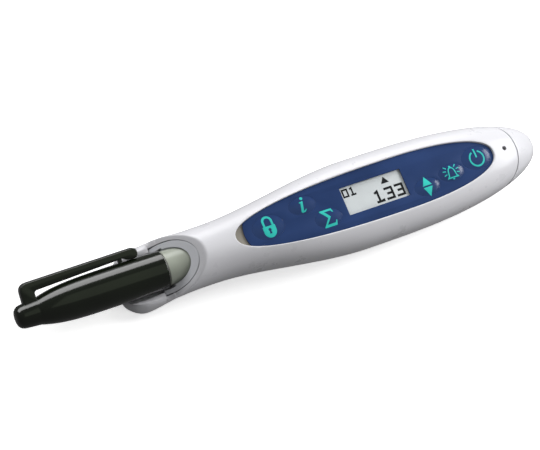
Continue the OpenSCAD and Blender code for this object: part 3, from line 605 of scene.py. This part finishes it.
def lower_rows(a, w_of):
    """Stations of the lower sheets: from the lip, along the body, then into the curve of the seam."""
    lip = lip_at(w_of(0 * a) * np.cos(a)) + LIP_EDGE
    last = SEAM - SEAM_R
    front = np.linspace(0, 1, SCOOP_ROWS + 1)[:, None]
    scoop = lip + (SCOOP_REAR - BORE_STEP - lip) * front
    mouth = np.linspace(SCOOP_REAR + BORE_STEP, MOUTH_END, MOUTH_ROWS + 1)[:-1, None] + 0 * a
    body = np.linspace(MOUTH_END, last, BODY_ROWS)[:, None] + 0 * a
    stop = np.full(len(a), last)
    for _ in range(SEAM_PASSES):
        y = w_of(stop) * signed_pow(np.cos(a), 2 / power_at(stop))
        stop = 0.5 * stop + 0.5 * (seam_at(np.clip(y, -SEAM_R, SEAM_R)) - JOINT_EDGE)
    rear = np.linspace(0, 1, SEAM_ROWS + 1)[1:, None]
    return np.concatenate([scoop, mouth, body, last + (stop - last) * rear])


def lower_sheet(w_of, depth_of, rim):
    """Grid of points of the lower half, from the lip to the seam and from the +Y rim round to the -Y rim."""
    a = np.linspace(0, math.pi, LOWER_STEPS + 1)
    s = lower_rows(a, w_of)
    n = power_at(s)
    y = w_of(s) * signed_pow(np.cos(a), 2 / n)
    edge = JOINT_EDGE + (rim - JOINT_EDGE) * rim_share(s) - rim_height(s)
    h = -edge - (depth_of(s) - edge) * np.sin(a) ** (2 / n)
    return np.stack([s, y, flattened(h)], 2)


def edge_peak(a, b, i, j, rows, cols):
    """Farthest point of the rounded edge between the borders of two sheets, and the way it stands out."""
    up, front, side = np.array([0, 0, 1.0]), np.array([-1.0, 0, 0]), j in (0, cols - 1)
    if i == rows - 1:
        return (a + b) / 2 + JOINT_EDGE * (up * side - front), -front
    share = float(np.clip((RIM_PEAK_R - in_w(a[0])) / (out_w(a[0]) - in_w(a[0])), RIM_LEAST, 0.5))
    share = 0.5 + (share - 0.5) * float(rim_share(a[0]))
    rim = b + share * (a - b)
    rim[2] = rim_height(rim[0])
    if i > 0:
        return rim, up
    turn = float(smooth(0, LIP_COLS, min(j, cols - 1 - j)))
    rim = b + share * (a - b) + up * (RIM_IN + share * (RIM_OUT - RIM_IN))
    lip = (a + b) / 2 + front * LIP_EDGE
    out = up * (1 - turn) + front * turn
    return rim * (1 - turn) + lip * turn, out / np.linalg.norm(out)


def eased(peaks, corners):
    """Line of peaks with its bends at the lip's corners rounded."""
    count, soft = len(peaks), peaks.copy()
    for _ in range(LIP_PASSES):
        soft = sum(np.roll(soft, k, axis=0) for k in range(-LIP_BLEND, LIP_BLEND + 1)) / (2 * LIP_BLEND + 1)
    away = np.abs(np.arange(count)[:, None] - corners)
    near = 1 - smooth(LIP_BLEND, LIP_BLEND_END, np.minimum(away, count - away).min(axis=1))
    return peaks + (soft - peaks) * near[:, None]


def edge_line(a, b, peak, out):
    """Rounded edge from the outer border over the peak to the inner border, without the borders."""
    turns = [k / EDGE_STEPS * math.pi / 2 for k in range(1, EDGE_STEPS)]

    def flank(end):
        rise = out * (out @ (peak - end))
        across = end - peak + rise
        return [peak + across * math.cos(t) ** RIM_POWER - rise * (1 - math.sin(t) ** RIM_POWER)
                for t in turns]

    return flank(a) + [peak] + flank(b)[::-1]


def lower_solid():
    outer, inner = lower_sheet(out_w, out_depth, RIM_OUT), lower_sheet(in_w, in_depth, RIM_IN)
    rows, cols = outer.shape[:2]
    corners = [first + i * cols + j
               for first in (0, rows * cols) for i in range(rows - 1) for j in range(cols - 1)]
    faces = [(c, c + 1, c + cols + 1, c + cols) for c in corners]
    border = [(0, j) for j in range(cols - 1)] + [(i, cols - 1) for i in range(rows - 1)]
    border += [(rows - 1, j) for j in range(cols - 1, 0, -1)] + [(i, 0) for i in range(rows - 1, 0, -1)]
    found = [edge_peak(outer[i, j], inner[i, j], i, j, rows, cols) for i, j in border]
    peaks = eased(np.array([peak for peak, _ in found]), np.array([0, cols - 1]))
    strip = np.array([edge_line(outer[i, j], inner[i, j], peak, out)
                      for (i, j), peak, (_, out) in zip(border, peaks, found)])

    def across(k):
        i, j = border[k]
        first = 2 * rows * cols + k * strip.shape[1]
        return [i * cols + j, *range(first, first + strip.shape[1]), rows * cols + i * cols + j]

    for k in range(len(border)):
        here, there = across(k), across((k + 1) % len(border))
        faces += [(here[e], here[e + 1], there[e + 1], there[e]) for e in range(len(here) - 1)]
    return np.concatenate([outer.reshape(-1, 3), inner.reshape(-1, 3), strip.reshape(-1, 3)]), faces


def lower_shell():
    shell = new_object("lower_shell", *lower_solid())
    carve(shell, "UNION", [upright(p, POST_BOTTOM, LOWER_POST_HEAD, POST_R) for p in POST_SPOTS])
    carve(shell, "DIFFERENCE", [upright(p, -DEPTH - CUT_OVER, HEAD_SEAT, HEAD_R) for p in POST_SPOTS])
    carve(shell, "DIFFERENCE", [upright(p, HEAD_SEAT - CUT_OVER, CUT_OVER, SCREW_R) for p in POST_SPOTS])
    dress(shell, MATERIALS["white_shell"], "housing", "white_shell", "lower_housing")


# End cap: rings that run from its pocket round the skirt to the seam and on to the tail's tip

TAIL_STEPS, TAIL_RINGS, TAIL_TIP, SEAM_STEPS = 144, 40, 0.002, 4
SKIRT_LEN, SKIRT_WALL, SKIRT_GAP = 3.8, 1.0, 0.3
SKIRT_BOTTOM, SKIRT_FRONT = SEAM + 2.5, SEAM - SKIRT_LEN
POCKET_R, POCKET_END, POCKET_H = 4.6, 158.0, 1.0
SEAM_GUESS = SEAM - 5
TAIL_ANGLES = ring_angles(TAIL_STEPS)


def tail_section(s, inset=(0.0, 0.0, 0.0)):
    """Ring of the body's section at stations, set in at the side, the top and the belly."""
    n = power_at(s)
    h_size = np.where(np.sin(TAIL_ANGLES) > 0, out_rise(s) - inset[1], out_depth(s) - inset[2])
    y = (out_w(s) - inset[0]) * signed_pow(np.cos(TAIL_ANGLES), 2 / n)
    h = h_size * signed_pow(np.sin(TAIL_ANGLES), 2 / n)
    return np.stack([s, y, h], 1)


def tail_start():
    """Stations of the end cap's edge along the seam."""
    start = np.full(TAIL_STEPS, SEAM_GUESS)
    for _ in range(SEAM_PASSES):
        y = out_w(start) * signed_pow(np.cos(TAIL_ANGLES), 2 / power_at(start))
        start = 0.5 * start + 0.5 * seam_at(y, SEAM_GAP)
    return start


def tail_rings():
    start, seam = tail_start(), np.full(TAIL_STEPS, SEAM)
    corner = tail_section(start)
    inset = np.array([WALL, ROOF_WALL, BELLY_WALL]) + SKIRT_GAP
    skirt, bore = tail_section(seam, inset), tail_section(seam, inset + SKIRT_WALL)
    pocket = at_station(bore, POCKET_END)
    pocket[:, 1:] = ellipse((0, POCKET_H), (POCKET_R, POCKET_R), TAIL_STEPS)
    root = at_station(skirt, seam_at(skirt[:, 1], SEAM_GAP))
    inward = root - corner
    inward /= np.linalg.norm(inward, axis=1)[:, None]
    inner_end, after = corner + inward * SEAM_ROUND, start + SEAM_ROUND
    rings = [pocket, at_station(pocket, SKIRT_BOTTOM), at_station(bore, SKIRT_BOTTOM)]
    rings += [at_station(bore, SKIRT_FRONT), at_station(skirt, SKIRT_FRONT), root, inner_end]
    rings += bezier(inner_end, corner, tail_section(after), SEAM_STEPS)
    for t in np.sin(np.linspace(0, math.pi / 2, TAIL_RINGS + 1))[1:-1]:
        rings.append(tail_section(after + (BODY_LEN - after) * t))
    return rings + [tail_section(np.full(TAIL_STEPS, BODY_LEN - TAIL_TIP))]


def end_cap():
    points, faces = loft(tail_rings())
    points[:, 2] = np.where(points[:, 2] < 0, flattened(points[:, 2]), points[:, 2])
    shell = new_object("end_cap_shell", points, faces)
    dress(shell, MATERIALS["white_shell"], "battery_door", "white_shell", "end_cap")


# Keys, panel and display

KEY_STEPS, DOME_RINGS, DOME_FLAT, DOME_SOFT, DOME_TIP = 72, 22, 3.0, 1.5, 0.01
KEY_EDGE, KEY_EDGE_TOP, KEY_HOLE_GAP = 0.07, OVERLAY_TOP - 0.02, 0.1
FLANGE_BOTTOM, FLANGE_TOP = OVERLAY_BOTTOM - 0.2, OVERLAY_BOTTOM - 0.05
PLATE_EDGE, PLATE_EDGE_STEPS = 0.04, 2
SHEET_STEPS, WINDOW_GAP = 200, 0.05


def dome(r):
    """Height of a key's dome above the sheet at a share r of the way to its edge."""
    return KEY_RISE * np.maximum(0, 1 - np.asarray(r, float) ** DOME_FLAT) ** DOME_SOFT


def key_height(key, s, y):
    """Height of a key's surface at a place in plan."""
    r = np.hypot((s - key[0]) / key[2][0], (y - key[1]) / key[2][1])
    return OVERLAY_TOP + dome(np.minimum(1, r))


def key_solid(name, key):
    size = np.array(key[2])

    def ring(half, h):
        return at_height(ellipse(key, half, KEY_STEPS), h)

    stem, edge, flange = np.full(2, STEM_R), size + KEY_EDGE, size + KEY_FLANGE
    rings = [ring(stem, STEM_BOTTOM), ring(stem, FLANGE_BOTTOM), ring(flange, FLANGE_BOTTOM),
             ring(flange, FLANGE_TOP), ring(edge, FLANGE_TOP), ring(edge, KEY_EDGE_TOP)]
    for t in np.linspace(0, math.pi / 2, DOME_RINGS + 1)[:-1]:
        rings.append(ring(size * math.cos(t), float(OVERLAY_TOP + dome(math.cos(t)))))
    rings.append(ring(size * DOME_TIP, OVERLAY_TOP + KEY_RISE))
    key_dome = new_object(name + "_dome", *loft(rings))
    dress(key_dome, MATERIALS["key_blue"], name + "_button", "panel_blue", name + "_key")


def plate(name, outlines, bottom, top, edge=PLATE_EDGE):
    """Flat piece with a small edge rounding, from an outline and the outlines of its holes."""
    curve = bpy.data.curves.new(name, "CURVE")
    curve.dimensions = "2D"
    curve.fill_mode = "BOTH"
    curve.extrude = ((top - bottom) / 2 - edge) * MM
    curve.bevel_depth = edge * MM
    curve.bevel_resolution = PLATE_EDGE_STEPS
    curve.offset = -edge * MM
    for outline in outlines:
        spline = curve.splines.new("POLY")
        spline.points.add(len(outline) - 1)
        for point, (s, y) in zip(spline.points, outline):
            point.co = (*place((s, y, 0))[:2], 0, 1)
        spline.use_cyclic_u = True
    holder = add_object(name, curve)
    mesh = evaluated_mesh(holder)
    bpy.data.objects.remove(holder)
    mesh.transform(Matrix.Translation((0, 0, place((0, 0, (top + bottom) / 2))[2])))
    weld(mesh)
    finish_mesh(mesh)
    return add_object(name, mesh)


def panel_sheet():
    outline = mirrored(at_fractions(panel_half(-SHEET_GAP), np.linspace(0, 1, SHEET_STEPS)))
    front = OVERLAY_FRONT + PANEL_HALF_W - np.sqrt(np.maximum(0, PANEL_HALF_W ** 2 - outline[:, 1] ** 2))
    outline[:, 0] = np.maximum(outline[:, 0], front)
    holes = [ellipse(key, np.array(key[2]) + KEY_HOLE_GAP, KEY_STEPS) for key in KEYS.values()]
    window = rectangle(WINDOW_FRONT, WINDOW_REAR, WINDOW_HALF_W)
    sheet = plate("panel_sheet", [outline, window, *holes], OVERLAY_BOTTOM, OVERLAY_TOP)
    dress(sheet, MATERIALS["panel_blue"], "housing", "panel_blue", "key_overlay")
    clear = rectangle(WINDOW_FRONT + WINDOW_GAP, WINDOW_REAR - WINDOW_GAP, WINDOW_HALF_W - WINDOW_GAP)
    pane = plate("window_pane", [clear], OVERLAY_BOTTOM, OVERLAY_TOP)
    dress(pane, MATERIALS["window_clear"], "housing", "window_clear", "display_window")


# Signs on the keys and figures on the display, as flat prints. Each sign is drawn about its key's middle.

PRINT_T, PRINT_EDGE, PRINT_GRID = 0.03, 0.004, 0.6
PRINT_SINK = PRINT_T / 3
MITRE_LEAST = 0.35
ARC_STEPS, DOT_END = 24, 345
LOCK_BOW_W, BELL_W, BELL_RAY_W, POWER_W, POWER_STEPS = 0.8, 0.42, 0.35, 0.6, 48
BELL_RAY_TURNS, BELL_RAY_START, BELL_RAY_END, BELL_RAY_H = (-18, 12, 42), 2.1, 3.3, 0.2


def stroke(points, width, closed=False):
    """Outline of a line of even width with mitred bends."""
    p = np.asarray(points, float)
    n = len(p)
    left, right = [], []
    for i in range(n):
        before = p[i] - p[i - 1] if i or closed else p[1] - p[0]
        after = p[(i + 1) % n] - p[i] if i < n - 1 or closed else p[-1] - p[-2]
        before, after = before / np.linalg.norm(before), after / np.linalg.norm(after)
        normal = np.array([-(before + after)[1], (before + after)[0]])
        normal /= np.linalg.norm(normal)
        reach = width / 2 / max(MITRE_LEAST, normal @ np.array([-after[1], after[0]]))
        left.append(p[i] + normal * reach)
        right.append(p[i] - normal * reach)
    return [left, right] if closed else [left + right[::-1]]


def arc(centre, r, start, end, steps=ARC_STEPS):
    """Points of an arc between two angles in degrees."""
    a = np.radians(np.linspace(start, end, steps + 1))
    return [(centre[0] + r * math.cos(t), centre[1] + r * math.sin(t)) for t in a]


def dot(centre, r):
    return arc(centre, r, 0, DOT_END)


def printed(name, outlines, spot, height_of, material, body, slot):
    """Thin print that follows the surface under it."""
    moved = [[(x + spot[0], y + spot[1]) for x, y in outline] for outline in outlines]
    obj = plate(name, moved, 0, PRINT_T, PRINT_EDGE)
    work = bmesh.new()
    work.from_mesh(obj.data)
    low = np.min([v.co for v in work.verts], axis=0)
    high = np.max([v.co for v in work.verts], axis=0)
    for axis in (0, 1):
        normal = Vector((1 - axis, axis, 0))
        for at in np.arange(low[axis], high[axis], PRINT_GRID * MM)[1:]:
            geometry = work.verts[:] + work.edges[:] + work.faces[:]
            bmesh.ops.bisect_plane(work, geom=geometry, plane_co=normal * at, plane_no=normal)
    for vert in work.verts:
        s, y, h = np.array(vert.co) / MM - (LIP_X, 0, AXIS_Z)
        vert.co.z = place((s, y, height_of(s, y) + h - PRINT_SINK))[2]
    work.to_mesh(obj.data)
    work.free()
    finish_mesh(obj.data)
    return dress(obj, material, body, slot)


def lock_sign():
    body = [(-2.3, 0.35), (2.3, 0.35), (2.3, -1.3)] + arc((0, -1.4), 2.3, 0, -180)[1:-1] + [(-2.3, -1.3)]
    hole = arc((0, -0.95), 0.55, -55, 235) + [(-0.42, -2.35), (0.42, -2.35)]
    bow = stroke([(-1.55, 0.3)] + arc((0, 2.0), 1.55, 180, 0) + [(1.55, 0.3)], LOCK_BOW_W)
    return [body, hole], bow


def info_sign():
    stem = [(-0.85, 1.2), (0.55, 1.35), (-0.2, -2.05), (0.35, -1.95), (0.8, -1.55), (0.95, -1.75),
            (0.3, -2.5), (-0.75, -2.6), (-1.15, -2.2), (-0.45, 0.8), (-0.9, 0.85)]
    return [stem], [dot((0.45, 2.35), 0.55)]


def total_sign():
    sigma = [(-2.5, 3.0), (2.0, 3.0), (2.3, 1.6), (1.95, 1.55), (1.55, 2.25), (-0.95, 2.25), (0.75, 0.15),
             (-1.35, -2.3), (1.75, -2.3), (2.25, -1.45), (2.6, -1.5), (2.15, -3.2), (-2.55, -3.2),
             (-2.55, -2.9), (-0.35, -0.1), (-2.5, 2.65)]
    return ([sigma],)


def scroll_sign():
    up = [(-1.8, 0.3), (1.8, 0.3), (0, 3.7)]
    down = [(-1.8, -0.3), (1.8, -0.3), (0, -3.7)]
    return [up], [down]


def bell_sign():
    side = [(-2.0, -2.0), (-1.45, -1.3), (-1.25, 0.2), (-0.95, 1.1), (-0.4, 1.6)]
    bell = stroke(side + [(-x, y) for x, y in side[::-1]], BELL_W, closed=True)
    knob, clapper = dot((0, 2.0), 0.42), arc((0, -2.35), 0.45, 180, 360)
    rays = []
    for turn in BELL_RAY_TURNS:
        c, d = math.cos(math.radians(turn)), math.sin(math.radians(turn))
        for flip in (-1, 1):
            ends = [(flip * r * c, r * d + BELL_RAY_H) for r in (BELL_RAY_START, BELL_RAY_END)]
            rays.append(stroke(ends, BELL_RAY_W)[0])
    return bell, [knob], rays, [clapper]


def power_sign():
    ring = stroke(arc((0, -0.35), 2.75, 115, 425, POWER_STEPS), POWER_W)
    return ring, stroke([(0, 3.3), (0, 0.0)], POWER_W)


SIGNS = {
    "lock": lock_sign,
    "info": info_sign,
    "total": total_sign,
    "scroll": scroll_sign,
    "tone": bell_sign,
    "power": power_sign,
}
# Lines of each figure in a unit box, and whether they close
FIGURES = {
    "0": ([[(0, 0), (1, 0), (1, 1), (0, 1)]], True),
    "1": ([[(0.1, 0.86), (0.5, 1.0), (0.5, 0.0)], [(0.05, 0.0), (1.0, 0.0), (1.0, 0.16)]], False),
    "3": ([[(0, 1), (1, 1), (1, 0), (0, 0)], [(0.25, 0.5), (0.92, 0.5)]], False),
}
ARROW, ARROW_SPOT = [(-1.6, -1.15), (1.6, -1.15), (0, 1.25)], (99.4, 3.1)


def signs():
    for name, key in KEYS.items():
        for number, outlines in enumerate(SIGNS[name]()):
            printed(f"{name}_sign_{number}", outlines, key, lambda s, y, k=key: key_height(k, s, y),
                    MATERIALS["icon_teal"], name + "_button", "panel_blue")


def on_glass(name, outlines, spot):
    printed(name, outlines, spot, lambda s, y: GLASS_TOP,
            MATERIALS["segment_black"], "housing", "display_grey")


def write(name, text, spot, size, width, pitch):
    for i, figure in enumerate(text):
        lines, closed = FIGURES[figure]
        for number, line in enumerate(lines):
            scaled = [(x * size[0] + i * pitch, y * size[1]) for x, y in line]
            on_glass(f"{name}_{i}_{number}", stroke(scaled, width, closed), spot)


def figures():
    write("plate_figure", "01", spot=(82.9, 1.6), size=(1.8, 2.55), width=0.6, pitch=2.75)
    write("count_figure", "133", spot=(93.6, -3.75), size=(2.95, 3.75), width=0.85, pitch=4.2)
    on_glass("count_arrow", [ARROW], ARROW_SPOT)


# Marker: the profiles give stations, radii and the roundings of their corners

BARREL_R, BARREL_FRONT, BARREL_END = 6.0, 16.4, 97.4
BARREL = [(BARREL_FRONT, 5.0), (BARREL_FRONT, BARREL_R, 0.3), (BARREL_END - 7, BARREL_R, 3),
          (BARREL_END, 5.5, 0.3), (BARREL_END, 4.8)]
BARREL_ROUND_STEPS, NOSE_ROUND_STEPS, MOUTH_ROUND_STEPS, CLIP_ROUND_STEPS = 4, 8, 6, 6
NOSE, CAP_MOUTH, CAP_R = -36.0, 16.0, 6.7
FLANK_FRONT, FLANK_LEN, FLANK_R, FLANK_POWER, FLANK_STEPS = -27.8, 28.8, 4.6, 4.0, 24
CAP_NOSE = [(NOSE, 0.02), (NOSE, 3.75, 2.8), (FLANK_FRONT - 0.5, 4.42, 0.25), (FLANK_FRONT, FLANK_R, 0.2)]
CAP_BORE = [(CAP_MOUTH, CAP_R - 0.12, 0.35), (CAP_MOUTH, 5.65, 0.15), (-0.5, 5.65, 0.4), (-4.0, 4.95, 0.4),
            (-11.5, 2.7, 0.4), (-18.0, 1.7, 0.4), (-18.4, 0.05)]
CLIP_TURN, CLIP_HALF_W, CLIP_ROUND, CLIP_EDGE_STEPS = 20.0, 1.75, 0.4, 5
CLIP_ROOT, CLIP_FREE, CLIP_OUTER, CLIP_INNER = -32.4, 8.8, 10.2, 7.9
CLIP_ROOT_LEN, CLIP_FOOT, CLIP_TAPER = 4.6, 2.5, 1.0
CLIP_LOBE_R, CLIP_LOBE_LEN, CLIP_LOBE_FLAT, CLIP_TIP_RISE = 1.7, 5.4, 3.6, 0.1
CLIP_SHOULDER_R, CLIP_LOBE_BEND_R, CLIP_BAR_BEND_R, CLIP_SLOT_R = 3.0, 1.2, 0.6, 0.9
NUB_BACK, NUB_SINK, NUB_OVERLAP, NUB_FOOT, NUB_TOP, NUB_ROUND = 6.3, 0.2, 0.4, 0.5, 0.7, 0.1


def cap_profile():
    t = np.linspace(0, 1, FLANK_STEPS + 1)[1:-1]
    flank = np.stack([FLANK_FRONT + FLANK_LEN * t, CAP_R - (CAP_R - FLANK_R) * (1 - t) ** FLANK_POWER], 1)
    nose = rounded([*CAP_NOSE, flank[0]], NOSE_ROUND_STEPS)
    mouth = rounded([flank[-1], *CAP_BORE], MOUTH_ROUND_STEPS)
    return nose[:-1] + list(flank) + mouth[1:]


def clip_profile():
    """Outline of the clip in its own plane: root, bar and rounded free end."""
    slot, lobe = CLIP_ROOT + CLIP_ROOT_LEN, CLIP_OUTER - 2 * CLIP_LOBE_R
    corners = [
        (CLIP_ROOT, CLIP_FOOT),
        (CLIP_ROOT, CLIP_OUTER, CLIP_SHOULDER_R),
        (CLIP_FREE, CLIP_OUTER + CLIP_TIP_RISE, CLIP_LOBE_R),
        (CLIP_FREE, lobe, CLIP_LOBE_R),
        (CLIP_FREE - CLIP_LOBE_FLAT, lobe, CLIP_LOBE_BEND_R),
        (CLIP_FREE - CLIP_LOBE_LEN, CLIP_INNER, CLIP_BAR_BEND_R),
        (slot, CLIP_INNER - CLIP_TAPER, CLIP_SLOT_R),
        (slot, CLIP_FOOT),
    ]
    return rounded(corners, CLIP_ROUND_STEPS)


def nub_profile():
    """Outline of the small nub that steadies the clip on the cap."""
    middle, foot, top = CLIP_FREE - NUB_BACK, CAP_R - NUB_SINK, CLIP_INNER + NUB_OVERLAP
    front = [(middle - NUB_FOOT, foot), (middle - NUB_TOP, top)]
    return front + [(middle + NUB_TOP, top), (middle + NUB_FOOT, foot)]


def inset_outline(outline, depth):
    """Closed outline, running clockwise, moved inwards along its normals."""
    along = np.roll(outline, -1, axis=0) - np.roll(outline, 1, axis=0)
    along /= np.linalg.norm(along, axis=1)[:, None]
    return outline + np.stack([along[:, 1], -along[:, 0]], 1) * depth


def clip_solid(profile, half_w, edge):
    """Solid of a clip outline with rounded long edges, turned about the marker's axis to the clip's place."""
    outline = np.array(profile, float)
    turn = math.radians(CLIP_TURN)
    turns = np.linspace(0, math.pi / 2, CLIP_EDGE_STEPS + 1)
    rings = []
    for side in (-1, 1):
        for t in turns[::-1] if side < 0 else turns:
            flat = inset_outline(outline, edge * (1 - math.cos(t)))
            across = side * (half_w - edge + edge * math.sin(t))
            y = flat[:, 1] * math.cos(turn) - across * math.sin(turn)
            h = flat[:, 1] * math.sin(turn) + across * math.cos(turn)
            rings.append(np.stack([flat[:, 0], y, h], 1))
    return loft(rings)


def marker():
    barrel = new_object("barrel_tube", *turned(rounded(BARREL, BARREL_ROUND_STEPS), BARREL_STEPS))
    dress(barrel, MATERIALS["barrel_grey"], "marker", "barrel_grey", "marker_barrel")
    cap = new_object("cap_with_clip", *turned(cap_profile(), CAP_STEPS))
    carve(cap, "UNION", [clip_solid(clip_profile(), CLIP_HALF_W, CLIP_ROUND)])
    carve(cap, "UNION", [clip_solid(nub_profile(), CLIP_HALF_W / 2, NUB_ROUND)])
    dress(cap, MATERIALS["cap_black"], "cap", "cap_black", "marker_cap")


# Return spring between the holder and the housing, as a coil of one fixed length in the box of the frame's
# spring

COIL_TURNS, COIL_WIRE_R, COIL_STEPS, COIL_SIDES, COIL_END = 4, 0.3, 48, 12, 0.2


def return_coil():
    low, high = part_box("return_spring")
    r = (high.y - low.y) / 2 / MM - COIL_WIRE_R
    t = np.linspace(0, 1, COIL_TURNS * COIL_STEPS + 1)
    along = low.x / MM - LIP_X + COIL_WIRE_R + ((high.x - low.x) / MM - 2 * COIL_WIRE_R) * t
    b = ring_angles(COIL_SIDES)
    reach = r + COIL_WIRE_R * np.cos(b)
    rings = [np.stack([s - COIL_WIRE_R * np.sin(b), reach * math.cos(turn), reach * math.sin(turn)], 1)
             for s, turn in zip(along, 2 * math.pi * COIL_TURNS * t)]
    coil = new_object("return_coil", *loft(rings))
    coil.data.materials.append(MATERIALS["steel"])
    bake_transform(coil)
    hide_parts("return_spring")


# Nodes that keep their solids

CARRIED = {
    "holder_white": ["pen_holder"],
    "bearing_plastic": ["guide_bush", "nib_section"],
    "steel": ["housing_screws", "retaining_ring", "board_screws", "positive_contact", "negative_strip",
              "contact_spring"],
    "black_rubber": ["grip_ring"],
    "dark_plastic": ["count_switch", "controller_chip"],
    "red_plastic": ["switch_plunger"],
    "barrel_grey": ["barrel_plug"],
    "felt": ["marker_nib", "ink_reservoir"],
    "frame_beige": ["key_frame"],
    "display_grey": ["display_glass"],
    "connector_rubber": ["display_connectors"],
    "board_green": ["main_board"],
    "brass_disc": ["dome_contacts", "sounder"],
    "cell_jacket": ["battery_cell"],
}


def carried_nodes():
    for slot, names in CARRIED.items():
        for name in names:
            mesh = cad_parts[name].data
            mesh.materials.clear()
            mesh.materials.append(MATERIALS[slot])
            shade_smooth(mesh, CARRIED_SHARP_ANGLE)


# Floor, light and camera, in metres

FLOOR_HALF, WORLD_LIGHT = 8.0, 0.12


def floor():
    mesh = bpy.data.meshes.new("floor")
    corners = [(x, y, 0) for x, y in rectangle(-FLOOR_HALF, FLOOR_HALF, FLOOR_HALF)]
    mesh.from_pydata(corners, [], [(0, 1, 2, 3)])
    mesh.materials.append(MATERIALS["floor_white"])
    obj = add_object("floor", mesh)
    obj.visible_diffuse = False
    obj.visible_glossy = False


def lamp(name, spot, size, watts, glossy=True, diffuse=True, aim=(0, 0, 0), color=(1, 1, 1)):
    light = bpy.data.lights.new(name, "AREA")
    light.shape = "RECTANGLE"
    light.size, light.size_y = size
    light.energy = watts
    light.color = color
    obj = add_object(name, light)
    obj.location = spot
    obj.visible_glossy = glossy
    obj.visible_diffuse = diffuse
    obj.visible_camera = False
    obj.rotation_mode = "QUATERNION"
    obj.rotation_quaternion = (Vector(aim) - Vector(spot)).to_track_quat("-Z", "Y")


def lights():
    world = bpy.data.worlds.new("studio")
    world.use_nodes = True
    background = world.node_tree.nodes["Background"]
    background.inputs["Color"].default_value = (1, 1, 1, 1)
    background.inputs["Strength"].default_value = WORLD_LIGHT
    bpy.context.scene.world = world
    lamp("far", spot=(-0.05, 0.72, 0.30), size=(1.4, 0.5), watts=9.0)
    lamp("tail", spot=(0.60, 0.12, 0.50), size=(0.40, 0.40), watts=5.4, glossy=False)
    lamp("glint", spot=(0.60, 0.00, 0.47), size=(0.50, 0.10), watts=2.0, diffuse=False)
    lamp("top", spot=(-0.20, 0.10, 0.85), size=(0.8, 0.8), watts=1.8, glossy=False)
    lamp("near", spot=(0.22, -0.20, 0.14), size=(0.12, 0.12), watts=0.36, glossy=False, aim=(0.10, 0, 0))
    lamp("sheen", spot=(0.27, -0.10, 0.90), size=(0.8, 1.0), watts=0.55, diffuse=False,
         color=(0.85, 1.0, 0.72))


def camera():
    data = bpy.data.cameras.new("camera")
    data.sensor_width = SENSOR
    data.lens = SENSOR * FOCAL_PX / IMAGE_W
    data.clip_start, data.clip_end = CAMERA_NEAR, CAMERA_FAR
    obj = add_object("camera", data)
    rx, ry, rz = (math.radians(v) for v in CAMERA_ANGLES)
    turn = Matrix.Rotation(ry, 4, "Y") @ Matrix.Rotation(rx, 4, "X") @ Matrix.Rotation(rz, 4, "Z")
    obj.matrix_world = Matrix.Translation(Vector(CAMERA_EYE) * MM) @ turn
    bpy.context.scene.camera = obj


bpy.context.scene.view_settings.view_transform = "Standard"
upper_shell()
lower_shell()
end_cap()
for key_name, key_place in KEYS.items():
    key_solid(key_name, key_place)
panel_sheet()
signs()
figures()
marker()
return_coil()
carried_nodes()
floor()
lights()
camera()
